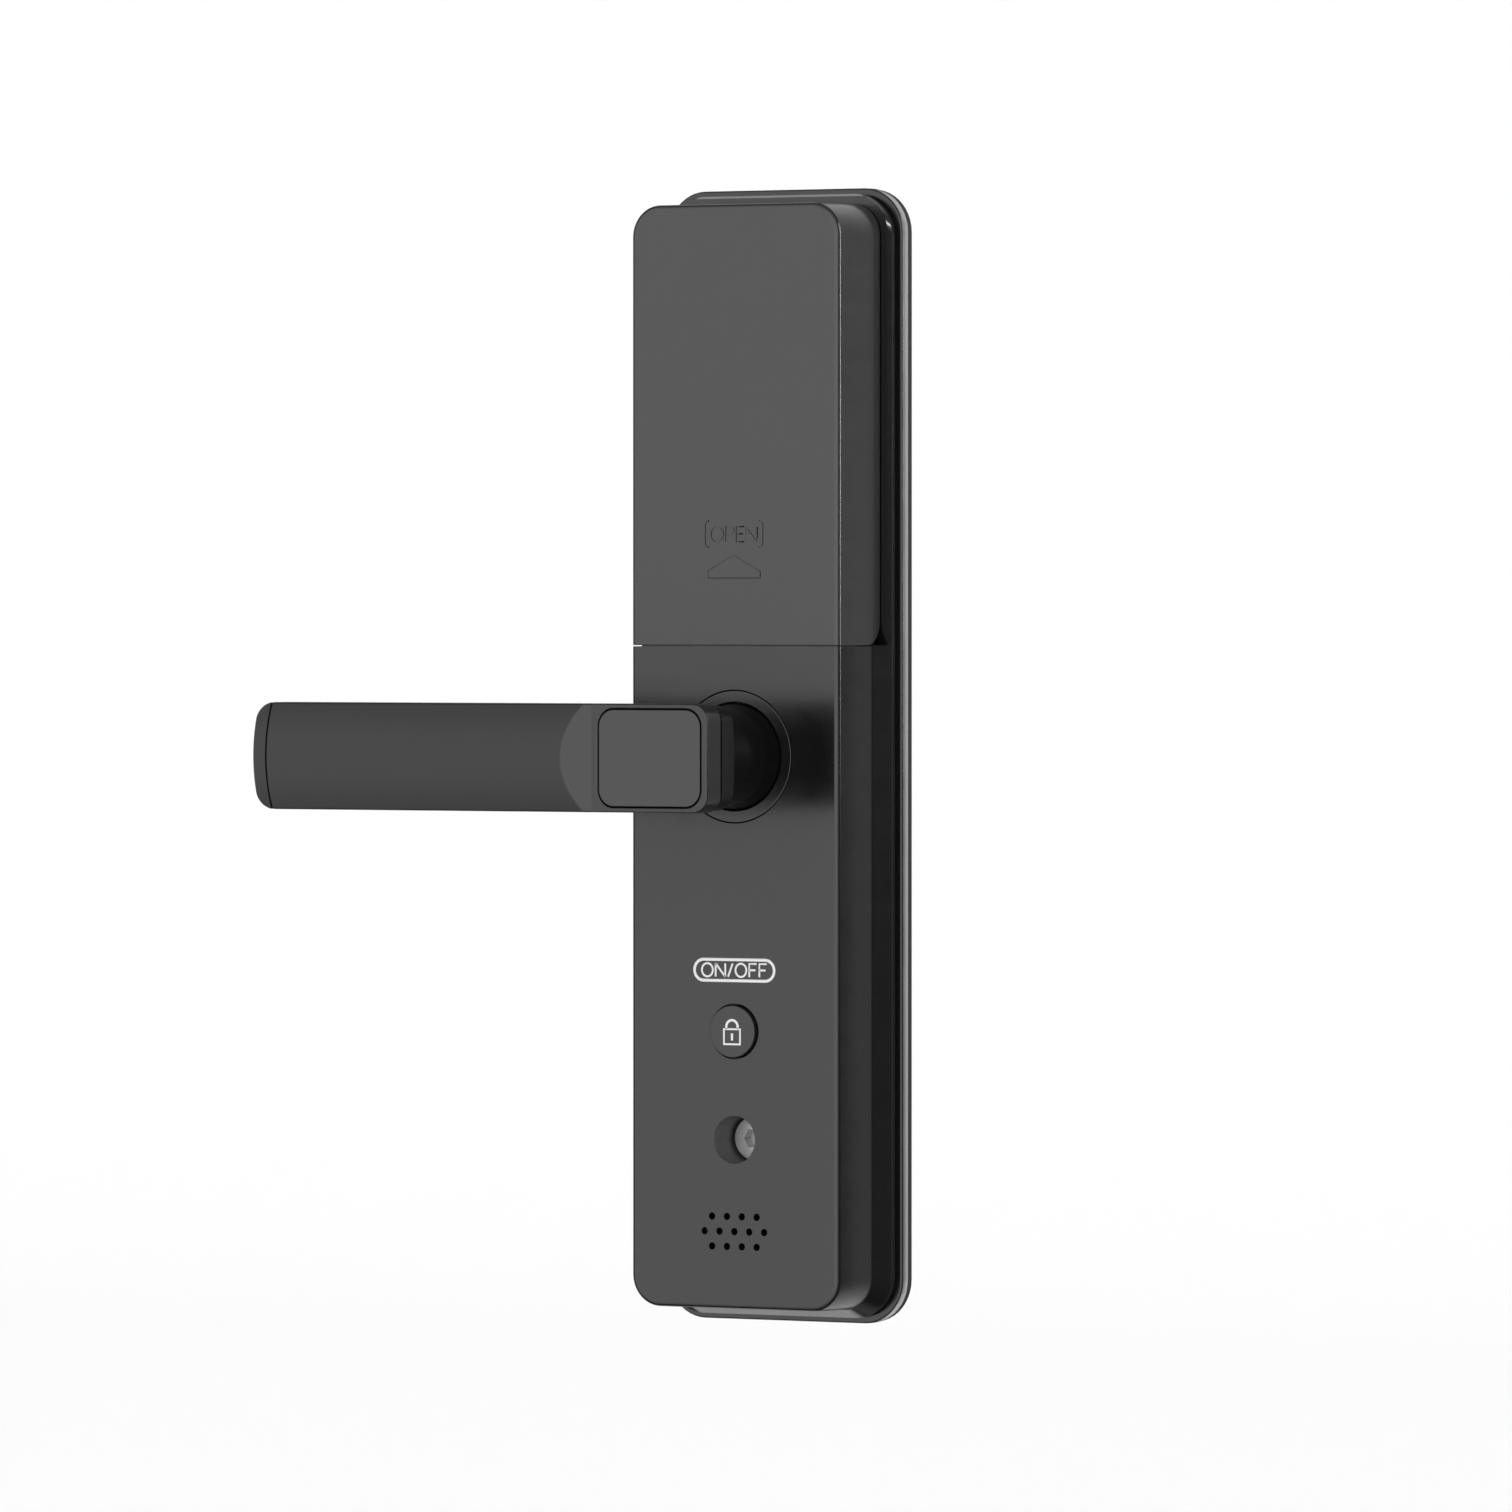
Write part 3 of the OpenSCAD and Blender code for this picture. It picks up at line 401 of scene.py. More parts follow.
def make_finishes():
    """Makes each finish once, under the name of the record's material slot."""
    c = colours()
    shades = {key: tuple(getattr(c, key)) for key in c.__annotations__}
    FINISHES.update(
        shell=satin_paint("lower_shell_paint", shades["shell"], 0.2, gloss=0.48),
        cover=satin_paint("cover_paint", shades["cover"]),
        ring=satin_paint("ring_paint", shades["shell"]),
        lever=satin_paint("lever_paint", shades["lever"], 0.24, 0.8, gloss=0.36),
        # Inside the bolt recess the shell's paint is swapped for a much lighter grey: painted light standing
        # in for the lit recess walls.
        recess=satin_paint("recess_paint", (0.075, 0.075, 0.077), 0.4, 1.0, gloss=0.5),
        hub=satin_paint("hub_paint", shades["lever"], 0.22, 0.7, gloss=0.46),
        # The lever's back half gets a darker, duller copy of the lever's paint: painted shade for the side
        # that faces the door.
        lever_rear=satin_paint("lever_rear_paint", darker(shades["lever"], 0.6), 0.28, 0.8, gloss=0.16),
        inlay=satin_paint("inlay_paint", shades["inlay"], 0.21, 0.6, gloss=0.52),
        # The neck's paint is a darker, duller copy of the base colour: painted shade for the neck in the
        # shadow under the hub.
        neck=satin_paint("neck_black", darker(shades["base"], 0.7), 0.3, 0.7, gloss=0.1),
        button=satin_paint("button_paint", shades["shell"], grain=0.8),
        plate=satin_paint("plate_paint", shades["shell"], 0.2),
        # Bright metal on the plate's side faces only, chosen by their facing direction: its reflections are
        # rendered, but its brightness on the sides alone is a painted highlight.
        plate_edge=anodised("plate_edge_anodising", shades["plate"]),
        base=satin_paint("base_moulding", shades["base"], 0.2, 0.8),
        tray=moulded("tray_moulding", shades["base"], 0.5, 1800, 0.35),
        switch_body=moulded("switch_moulding", darker(shades["base"], 1.3), 0.48),
        chip=moulded("chip_epoxy", darker(shades["base"], 1.1), 0.55, 3000, 0.4),
        plunger=moulded("plunger_amber", (0.42, 0.22, 0.04), 0.4),
        speaker=moulded("speaker_black", darker(shades["base"], 1.6), 0.5),
        rubber=soft_rubber("gasket_rubber", shades["rubber"]),
        foam=soft_rubber("speaker_foam", darker(shades["rubber"], 1.6), 0.9),
        bolt_steel=drawn_steel("bolt_zinc", (0.66, 0.66, 0.67), 0.3, (1.0, 1.0, 1.0), 0.45),
        screw_steel=drawn_steel("screw_zinc", (0.5, 0.5, 0.51), 0.3, (1.0, 1.0, 1.0)),
        spindle_steel=drawn_steel("spindle_bar", (0.46, 0.46, 0.47), 0.34),
        spring_steel=drawn_steel("spring_wire", (0.36, 0.36, 0.37), 0.26),
        contact_nickel=drawn_steel("contact_nickel", (0.6, 0.57, 0.52), 0.2, (1.0, 1.0, 1.0)),
        cast_zinc=cast_metal("cast_zinc", (0.4, 0.4, 0.41)),
        bush_nylon=natural_nylon("bush_nylon", (0.68, 0.66, 0.58)),
        socket_nylon=natural_nylon("socket_nylon", (0.66, 0.62, 0.52)),
        cell_jacket=cell_sleeve("cell_sleeve", shades["jacket"]),
        board=circuit_board("board_resist", shades["board"]),
        ink=printed_ink("legend_ink", shades["ink"]),
    )


# ---------- mesh making ----------


def placed(name, data):
    """Object at the origin that holds a mesh, a light or a camera."""
    made = bpy.data.objects.new(name, data)
    bpy.context.scene.collection.objects.link(made)
    return made


def piece_from(mesh_maker, name):
    """Turns a bmesh measured in millimetres into an object in metres at the origin."""
    bmesh.ops.recalc_face_normals(mesh_maker, faces=mesh_maker.faces)
    bmesh.ops.scale(mesh_maker, vec=(MM, MM, MM), verts=mesh_maker.verts)
    mesh = bpy.data.meshes.new(name)
    mesh_maker.to_mesh(mesh)
    mesh_maker.free()
    return placed(name, mesh)


def settle(piece):
    """Applies an object's modifiers to its mesh."""
    graph = bpy.context.evaluated_depsgraph_get()
    mesh = bpy.data.meshes.new_from_object(piece.evaluated_get(graph), depsgraph=graph)
    piece.modifiers.clear()
    old = piece.data
    piece.data = mesh
    bpy.data.meshes.remove(old)
    piece.data.name = piece.name
    return piece


def discard(*pieces):
    for piece in pieces:
        mesh = piece.data
        bpy.data.objects.remove(piece)
        bpy.data.meshes.remove(mesh)


def combine(piece, tools, how, tangled=False):
    """Cuts, joins or crosses a piece with tools and removes them; tangled tools run through themselves."""
    for tool in tools:
        step = piece.modifiers.new("combine", "BOOLEAN")
        step.operation = how
        step.solver = "EXACT"
        step.use_self = tangled
        step.object = tool
    settle(piece)
    discard(*tools)
    return piece


def carve(piece, *tools):
    return combine(piece, tools, "DIFFERENCE")


def fuse(piece, *tools):
    return combine(piece, tools, "UNION")


def cross(piece, *tools):
    return combine(piece, tools, "INTERSECT")


def break_edges(piece, width, segments=2, angle=30):
    """Bevels the sharp edges and smooths the shading between them."""
    mesh_maker = bmesh.new()
    mesh_maker.from_mesh(piece.data)
    bmesh.ops.remove_doubles(mesh_maker, verts=mesh_maker.verts, dist=2e-6)
    bmesh.ops.dissolve_degenerate(mesh_maker, edges=mesh_maker.edges, dist=1e-6)
    bmesh.ops.dissolve_limit(
        mesh_maker, angle_limit=math.radians(0.4), verts=mesh_maker.verts, edges=mesh_maker.edges
    )
    for face in mesh_maker.faces:
        face.smooth = True
    mesh_maker.to_mesh(piece.data)
    mesh_maker.free()
    if not width:
        return piece
    bevel = piece.modifiers.new("edges", "BEVEL")
    bevel.width = width
    bevel.segments = segments
    bevel.limit_method = "ANGLE"
    bevel.angle_limit = math.radians(angle)
    bevel.miter_outer = "MITER_ARC"
    bevel.harden_normals = True
    return settle(piece)


def smooth(piece, angle=32):
    """Smooth shading that leaves flat faces flat, with edges sharper than the angle kept crisp."""
    for face in piece.data.polygons:
        face.use_smooth = True
    piece.data.set_sharp_from_angle(angle=math.radians(angle))
    normals = piece.modifiers.new("normals", "WEIGHTED_NORMAL")
    normals.keep_sharp = True
    normals.weight = 100
    return settle(piece)


def dress(piece, body, slot, *nodes, finish=None):
    """Gives a piece its finish and its body, and lets it stand for CAD nodes."""
    piece.data.materials.clear()
    piece.data.materials.append(FINISHES[finish or slot])
    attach(piece, body)
    if nodes:
        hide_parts(*nodes)
    return piece


def repaint(piece, slot, chosen):
    """Gives a second finish to the faces whose centre, in millimetres, and normal pass a test."""
    piece.data.materials.append(FINISHES[slot])
    for face in piece.data.polygons:
        if chosen(face.center / MM, face.normal):
            face.material_index = 1


def copy_of(node, name):
    """Copy of a CAD node's mesh under another name."""
    piece = placed(name, NODES[node].data.copy())
    piece.data.name = name
    return piece


BODY_OF = {
    node: body for body, nodes in frame["record"]["behaviour"]["bodies"].items() for node in nodes
}


def refine(node, slot, width=0.00012, angle=40):
    """Replaces a CAD node with a copy whose sharp edges are broken."""
    piece = copy_of(node, node + "_finished")
    break_edges(piece, width, 2, angle)
    return dress(smooth(piece, 40), BODY_OF[node], slot, node)


class Solid:
    """One separate solid of a CAD node: its corners and its points in millimetres."""

    def __init__(self, points):
        self.points = points
        self.low = Vector([min(p[i] for p in points) for i in range(3)])
        self.high = Vector([max(p[i] for p in points) for i in range(3)])
        self.middle = (self.low + self.high) / 2
        self.size = self.high - self.low

    def slim_end(self, axis, across):
        """+1 or -1: the end along an axis where the solid is narrower than a width."""
        other = (axis + 1) % 3
        for sign, end in ((1, self.high[axis]), (-1, self.low[axis])):
            reach = [abs(p[other] - self.middle[other]) for p in self.points if abs(p[axis] - end) < 0.1]
            if reach and max(reach) < across / 2:
                return sign
        return 1


def solids_of(node):
    """The separate solids of a CAD node, lowest first."""
    mesh_maker = bmesh.new()
    mesh_maker.from_mesh(NODES[node].data)
    bmesh.ops.remove_doubles(mesh_maker, verts=mesh_maker.verts, dist=2e-6)
    waiting, found = set(mesh_maker.verts), []
    while waiting:
        stack = [waiting.pop()]
        group = []
        while stack:
            vert = stack.pop()
            group.append(vert.co / MM)
            for edge in vert.link_edges:
                other = edge.other_vert(vert)
                if other in waiting:
                    waiting.remove(other)
                    stack.append(other)
        found.append(Solid(group))
    mesh_maker.free()
    return sorted(found, key=lambda solid: (round(solid.middle.z, 1), round(solid.middle.x, 1)))


def finish_node(node, slot):
    """Gives a CAD node its finish."""
    materials = NODES[node].data.materials
    materials.clear()
    materials.append(FINISHES[slot])


def panel_loop(width, low, high, low_r, high_r, y):
    """One turn of an upright panel's outline; a radius of 0 leaves that pair of corners square."""
    points = []
    for side, end, start in ((1, 1, 0), (-1, 1, 90), (-1, -1, 180), (1, -1, 270)):
        z, r = (high, high_r) if end > 0 else (low, low_r)
        turn = arc(r, start, start + 90, sizes().curve_steps) if r > 0 else [(0, 0)]
        points += [Vector((side * (width / 2 - r) + a, y, z - end * r + b)) for a, b in turn]
    return points


def ring_loop(radius, y, x=0.0, z=0.0, steps=72):
    """One turn of a circle about an axis along Y."""
    return [
        Vector((x + radius * math.cos(a), y, z + radius * math.sin(a)))
        for a in (2 * math.pi * k / steps for k in range(steps))
    ]


def loft(mesh_maker, loops, closed=False):
    """Joins loops of points in order and caps both ends, or joins the last to the first."""
    rows = [[mesh_maker.verts.new(p) for p in loop] for loop in loops]
    count = len(rows[0])
    pairs = list(zip(rows, rows[1:]))
    if closed:
        pairs.append((rows[-1], rows[0]))
    for a, b in pairs:
        for k in range(count):
            n = (k + 1) % count
            mesh_maker.faces.new((a[k], a[n], b[n], b[k]))
    if not closed:
        mesh_maker.faces.new(rows[0])
        mesh_maker.faces.new(list(reversed(rows[-1])))
    return rows


def lofted(name, loops, closed=False):
    mesh_maker = bmesh.new()
    loft(mesh_maker, loops, closed)
    return piece_from(mesh_maker, name)


def panel(name, width, low, high, low_r, high_r, front, back):
    """Upright panel with rounded corners between two Y positions."""
    return lofted(name, [panel_loop(width, low, high, low_r, high_r, y) for y in (front, back)])


def rod(radius, front, back, x=0.0, z=0.0, steps=72):
    """Round cutter or stub along Y."""
    return lofted("rod", [ring_loop(radius, y, x, z, steps) for y in (front, back)])


def turned(name, profile, x=0.0, z=0.0, steps=96):
    """Solid turned about an axis along Y, from (radius, y) pairs; radius 0 may close either end."""
    mesh_maker = bmesh.new()
    rows = []
    for radius, y in profile:
        if radius == 0:
            rows.append([mesh_maker.verts.new((x, y, z))])
        else:
            rows.append([mesh_maker.verts.new(p) for p in ring_loop(radius, y, x, z, steps)])
    closed = len(rows[0]) > 1 and len(rows[-1]) > 1
    pairs = list(zip(rows, rows[1:])) + ([(rows[-1], rows[0])] if closed else [])
    for a, b in pairs:
        for k in range(steps):
            n = (k + 1) % steps
            corners = [a[k % len(a)], a[n % len(a)], b[n % len(b)], b[k % len(b)]]
            kept = list(dict.fromkeys(corners))
            if len(kept) > 2:
                mesh_maker.faces.new(kept)
    return piece_from(mesh_maker, name)


def block(x0, x1, y0, y1, z0, z1):
    """Box between two corners."""
    return lofted("block", [
        [Vector((x0, y, z0)), Vector((x1, y, z0)), Vector((x1, y, z1)), Vector((x0, y, z1))]
        for y in (y0, y1)
    ])


def prism(name, outline, axis, low, high):
    """Solid with a flat outline of (a, b) pairs, pulled along X, Y or Z."""
    order = {"X": (2, 0, 1), "Y": (0, 2, 1), "Z": (0, 1, 2)}[axis]
    loops = []
    for level in (low, high):
        loops.append([Vector([(a, b, level)[i] for i in order]) for a, b in outline])
    return lofted(name, loops)


def arc(radius, start, end, steps):
    """Points of an arc about (0, 0), angles in degrees."""
    return [
        (radius * math.cos(a), radius * math.sin(a))
        for a in (math.radians(start + (end - start) * k / steps) for k in range(steps + 1))
    ]


def edge_steps(radius, steps=8):
    """(inset, rise) pairs that round an edge from a side to a face."""
    return [
        (radius * (1 - math.cos(a)), radius * math.sin(a))
        for a in (math.pi / 2 * k / steps for k in range(1, steps + 1))
    ]


def bowed_side(back_y, bow=0.22, steps=10):
    """(inset, y) pairs from a panel's rear edge to its face: a slightly bowed side, then the round edge."""
    front_y = FACE_Y + EDGE_R
    depth = back_y - front_y
    pairs = [
        (bow * (k / steps) ** 2, back_y - depth * k / steps) for k in range(steps + 1)
    ]
    return pairs + [(bow + d, front_y - rise) for d, rise in edge_steps(EDGE_R)]


# ---------- node trees ----------


class Tree(Nodes):
    """A geometry node tree under construction."""

    def __init__(self, name, inputs):
        super().__init__(bpy.data.node_groups.new(name, "GeometryNodeTree"))
        face = self.tree.interface
        face.new_socket("Geometry", in_out="INPUT", socket_type="NodeSocketGeometry")
        for label, (kind, default) in inputs.items():
            socket = face.new_socket(label, in_out="INPUT", socket_type=f"NodeSocket{kind}")
            if default is not None:
                socket.default_value = default
        face.new_socket("Geometry", in_out="OUTPUT", socket_type="NodeSocketGeometry")
        self.start = self.add("NodeGroupInput")
        self.end = self.add("NodeGroupOutput")

    def given(self, label):
        return self.start.outputs[label]

    def close(self, geometry):
        """Realizes instances, sets the material and ends the tree."""
        real = self.add("GeometryNodeRealizeInstances", Geometry=geometry)
        painted = self.add(
            "GeometryNodeSetMaterial", Geometry=real.outputs[0], Material=self.given("Material")
        )
        self.plug(self.end.inputs[0], painted.outputs[0])
        return self.tree


def grow(piece, tree, **values):
    """Runs a node tree on a piece with its inputs set, and keeps the result as a plain mesh."""
    step = piece.modifiers.new("grow", "NODES")
    step.node_group = tree
    for item in tree.interface.items_tree:
        if item.item_type == "SOCKET" and item.in_out == "INPUT":
            key = item.name.lower().replace(" ", "_")
            if key in values:
                step[item.identifier] = values[key]
    return settle(piece)


def stroke_tree():
    """Turns the edges of a mesh into flat strokes with a width and a height."""
    t = Tree("strokes", {
        "Stroke": ("Float", 0.0008), "Height": ("Float", 0.00005), "Material": ("Material", None),
    })
    line = t.add("GeometryNodeMeshToCurve", Mesh=t.given("Geometry"))
    upright = t.add(
        "GeometryNodeSetCurveNormal", {"mode": "FREE"}, Curve=line.outputs[0], Normal=(0.0, -1.0, 0.0)
    )
    section = t.add(
        "GeometryNodeCurvePrimitiveQuadrilateral", Width=t.given("Height"), Height=t.given("Stroke")
    )
    solid = t.add(
        "GeometryNodeCurveToMesh", Curve=upright.outputs[0], Profile_Curve=section.outputs[0], Fill_Caps=True
    )
    return t.close(solid.outputs[0])


def wire_tree():
    """Turns the edges of a mesh into round wire."""
    t = Tree("round wire", {"Radius": ("Float", 0.0005), "Material": ("Material", None)})
    line = t.add("GeometryNodeMeshToCurve", Mesh=t.given("Geometry"))
    section = t.add("GeometryNodeCurvePrimitiveCircle", Resolution=14, Radius=t.given("Radius"))
    solid = t.add(
        "GeometryNodeCurveToMesh", Curve=line.outputs[0], Profile_Curve=section.outputs[0], Fill_Caps=True
    )
    shaded = t.add("GeometryNodeSetShadeSmooth", Geometry=solid.outputs[0])
    return t.close(shaded.outputs[0])


def scatter_tree():
    """Puts a copy of one part on every point of a mesh, turned as the point's own attribute says."""
    t = Tree("copies on points", {"Part": ("Object", None), "Material": ("Material", None)})
    part = t.add("GeometryNodeObjectInfo", Object=t.given("Part"))
    turn = t.add("GeometryNodeInputNamedAttribute", {"data_type": "FLOAT_VECTOR"}, Name="turn")
    points = t.add(
        "GeometryNodeInstanceOnPoints", Points=t.given("Geometry"), Instance=part.outputs["Geometry"],
        Rotation=turn.outputs["Attribute"],
    )
    return t.close(points.outputs[0])


def grille_tree():
    """Staggered rows of round cutters for the speaker holes."""
    t = Tree("speaker holes", {
        "Pitch": ("Float", 0.0047), "Radius": ("Float", 0.001), "Depth": ("Float", 0.006),
        "Material": ("Material", None),
    })
    cutter = t.add(
        "GeometryNodeMeshCylinder", Vertices=40, Radius=t.given("Radius"), Depth=t.given("Depth")
    )
    rise = t.math("MULTIPLY", t.given("Pitch"), math.sin(math.radians(60)))
    rows = []
    for count, step in ((4, -1), (5, 0), (4, 1)):
        start = t.add(
            "ShaderNodeCombineXYZ", X=t.math("MULTIPLY", t.given("Pitch"), -(count - 1) / 2),
            Z=t.math("MULTIPLY", rise, step),
        )
        gap = t.add("ShaderNodeCombineXYZ", X=t.given("Pitch"))
        rows.append(t.add(
            "GeometryNodeMeshLine", {"mode": "OFFSET"}, Count=count,
            Start_Location=start.outputs[0], Offset=gap.outputs[0],
        ))
    joined = t.add("GeometryNodeJoinGeometry")
    for row in rows:
        t.plug(joined.inputs[0], row.outputs[0])
    holes = t.add(
        "GeometryNodeInstanceOnPoints", Points=joined.outputs[0], Instance=cutter.outputs[0],
        Rotation=(math.radians(90), 0.0, 0.0),
    )
    return t.close(holes.outputs[0])


def lines_mesh(name, paths):
    """Mesh of edges only, one run for each path of points in millimetres; a run may close on itself."""
    mesh_maker = bmesh.new()
    for path in paths:
        closed = path[0] == path[-1]
        points = path[:-1] if closed else path
        verts = [mesh_maker.verts.new(Vector(p) * MM) for p in points]
        pairs = list(zip(verts, verts[1:])) + ([(verts[-1], verts[0])] if closed else [])
        for a, b in pairs:
            mesh_maker.edges.new((a, b))
    mesh = bpy.data.meshes.new(name)
    mesh_maker.to_mesh(mesh)
    mesh_maker.free()
    return placed(name, mesh)


def points_mesh(name, spots):
    """Mesh of points only, each (x, y, z in millimetres, turn about X, Y, Z in degrees)."""
    mesh = bpy.data.meshes.new(name)
    mesh.from_pydata([tuple(c * MM for c in s[:3]) for s in spots], [], [])
    turn = mesh.attributes.new("turn", "FLOAT_VECTOR", "POINT")
    for item, spot in zip(turn.data, spots):
        item.vector = [math.radians(a) for a in spot[3:]]
    return placed(name, mesh)


# ---------- legends ----------


INK_LIFT = 0.02  # millimetres
INK_HEIGHT = 0.00006  # metres
LETTER_WIDTHS = {"O": 0.96, "N": 0.84, "F": 0.64, "E": 0.62, "P": 0.64, "/": 0.4}


def letter(name, x, z, height):
    """Strokes of one plain letter as (x, z) paths, with its left foot at (x, z)."""
    w = LETTER_WIDTHS[name] * height
    bowl = 0.27 * height
    right, top, mid = x + w, z + height, z + 0.52 * height
    if name == "O":
        squeeze = height / w
        turn = [(x + w / 2 + a, z + height / 2 + b * squeeze) for a, b in arc(w / 2, 0, 360, 28)]
        return [turn[:-1] + [turn[0]]]
    if name == "N":
        return [[(x, z), (x, top)], [(x, top), (right, z)], [(right, z), (right, top)]]
    if name == "/":
        return [[(x, z), (right, top)]]
    if name == "P":
        turn = [(right - bowl + a, top - bowl + b) for a, b in arc(bowl, 90, -90, 10)]
        return [[(x, z), (x, top)] + turn + [(x, top - 2 * bowl)]]
    spine = [(x, z), (x, top), (right, top)]
    if name == "E":
        spine = [(right, z)] + spine
    return [spine, [(x, mid), (x + 0.85 * w, mid)]]


def word(text, centre_x, foot_z, height, gap):
    """Strokes of a word centred on an X position; the gap between letters is a share of their height."""
    width = height * (sum(LETTER_WIDTHS[name] for name in text) + gap * (len(text) - 1))
    x = centre_x - width / 2
    paths = []
    for name in text:
        paths += letter(name, x, foot_z, height)
        x += height * (LETTER_WIDTHS[name] + gap)
    return paths


def copies(name, part, spots, body, slot, *nodes):
    """Copies one part onto points by its node tree, and removes the pattern part."""
    run = points_mesh(name, spots)
    grow(run, bpy.data.node_groups["copies on points"], part=part, material=FINISHES[slot])
    discard(part)
    return dress(smooth(run, 40), body, slot, *nodes)


def ribbed(radius, start, end, pitch, depth):
    """(radius, y) pairs of a thread's crests and roots from one end to the other."""
    sign = 1 if end > start else -1
    count = int(abs(end - start) / pitch)
    pairs = []
    for k in range(count):
        y = start + sign * pitch * k
        pairs += [(radius - depth, y), (radius, y + sign * pitch * 0.4), (radius, y + sign * pitch * 0.55)]
    return pairs + [(radius - depth, end)]


def screw(head_r, head_h, shank_r, length):
    """Pan-head screw along Y with its head's top at 0: cross recess, dome and thread."""
    profile = [(0, 0), (head_r * 0.55, 0.06 * head_h), (head_r * 0.85, 0.28 * head_h)]
    profile += [(head_r, 0.62 * head_h), (head_r, head_h * 0.94), (head_r * 0.95, head_h), (shank_r, head_h)]
    profile += ribbed(shank_r, head_h + 0.3, length - shank_r, 0.55, shank_r * 0.16)
    piece = turned("screw", profile + [(shank_r * 0.3, length), (0, length)], steps=32)
    arm, slot = head_r * 0.55, head_r * 0.15
    deep = head_h * 0.7
    carve(piece, block(-arm, arm, -1, deep, -slot, slot), block(-slot, slot, -1, deep, -arm, arm))
    return piece


def helix(radius, start, end, turns, steps=40):
    """(across, along, up) points of a coil whose radius may change from one end to the other."""
    count = int(turns * steps)
    points = []
    for k in range(count + 1):
        share = k / count
        r = radius[0] + (radius[1] - radius[0]) * share
        a = 2 * math.pi * turns * share
        points.append((r * math.cos(a), start + (end - start) * share, r * math.sin(a)))
    return points


def coil(name, paths, wire, body, slot, node):
    """Round wire along paths, in place of a CAD node."""
    run = lines_mesh(name, paths)
    grow(run, bpy.data.node_groups["round wire"], radius=wire * MM, material=FINISHES[slot])
    return dress(run, body, slot, node)


def strokes(name, paths, y, stroke, height):
    """Flat strokes along (x, z) paths whose middle lies at a Y position."""
    run = lines_mesh(name, [[(x, y, z) for x, z in path] for path in paths])
    return grow(run, bpy.data.node_groups["strokes"], stroke=stroke, height=height)


# ---------- pieces ----------


class LockPiece(bpy.types.Operator):
    """Base of the operators that build one piece or a group of like pieces."""

    bl_options = {"REGISTER", "UNDO"}

    def execute(self, context):
        self.build()
        return {"FINISHED"}


class LOCK_OT_front_shell(LockPiece):
    """Lower shell with its round edge, holes, recess tube and battery bay"""

    bl_idname = "lock.front_shell"
    bl_label = "Front Shell"

    def build(self):
        s = sizes()
        shell = lofted("front_shell_skin", [
            panel_loop(SHELL_W - 2 * inset, SHELL_LOW.z + inset, SEAM_SHELL, SHELL_R - inset, 0, y)
            for inset, y in bowed_side(SHELL_BACK)
        ])
        carve(shell, panel(
            "hollow", SHELL_W - 2 * SHELL_WALL, SHELL_LOW.z + SHELL_WALL, SEAM_COVER - SHELL_WALL,
            SHELL_R - SHELL_WALL, 0, FACE_Y + SHELL_WALL, SHELL_BACK + 1,
        ))
        tube_wall = 1.5
        tube_front, tube_back = FACE_Y + SHELL_WALL - 0.01, RECESS_FLOOR_Y - 1
        fuse(shell, rod(RECESS_R + tube_wall, tube_front, tube_back, 0, RECESS_Z))
        grille = placed("grille", bpy.data.meshes.new("grille"))
        grow(
            grille, grille_tree(), pitch=s.grille_pitch, radius=s.grille_radius, depth=0.008,
            material=FINISHES["shell"],
        )
        grille.data.transform(Matrix.Translation((0, (FACE_Y + 1) * MM, GRILLE_Z * MM)))
        before, behind = FACE_Y - 1, FACE_Y + 4
        carve(
            shell, rod(RING_R + 0.25, before, behind, steps=120),
            rod(BUTTON_R + GAP, before, behind, 0, BUTTON_Z),
            rod(RECESS_R, before, RECESS_FLOOR_Y, 0, RECESS_Z), grille,
        )
        break_edges(shell, s.edge_break)
        dress(shell, "case", "shell", "front_shell")

        def in_recess(spot, normal):
            return math.hypot(spot.x, spot.z - RECESS_Z) < RECESS_R + 0.05 and spot.y > FACE_Y + GAP

        # Faces inside the recess take the lighter grey: painted light on the recess walls.
        repaint(shell, "recess", in_recess)

        inset = COVER_WALL + GAP
        bay_r, bay_w, bay_top = SHELL_R - COVER_WALL - GAP, SHELL_W - 2 * inset, SHELL_TOP - COVER_WALL - GAP
        bay_wall = 1.6
        bay = panel("battery_bay", bay_w, 28, bay_top, 0, bay_r, FACE_Y + COVER_WALL + GAP, SHELL_BACK)
        carve(bay, panel(
            "hollow", bay_w - 2 * bay_wall, 31.6, bay_top - bay_wall, 0, bay_r - bay_wall,
            FACE_Y, SHELL_BACK + 1,
        ))
        post_x, post_z, post_r, rib = 22, 138, 3, 0.7
        post_front = FACE_Y + COVER_WALL + 2.3
        for x0, x1 in ((-29.5, -post_x), (post_x, 29.5)):
            fuse(bay, block(x0, x1, post_front, SHELL_BACK, post_z - rib, post_z + rib))
        fuse(bay, *[rod(post_r, post_front, SHELL_BACK, x, post_z, 40) for x in (-post_x, post_x)])
        break_edges(bay, s.edge_break)
        dress(bay, "case", "shell", "front_shell", finish="base")


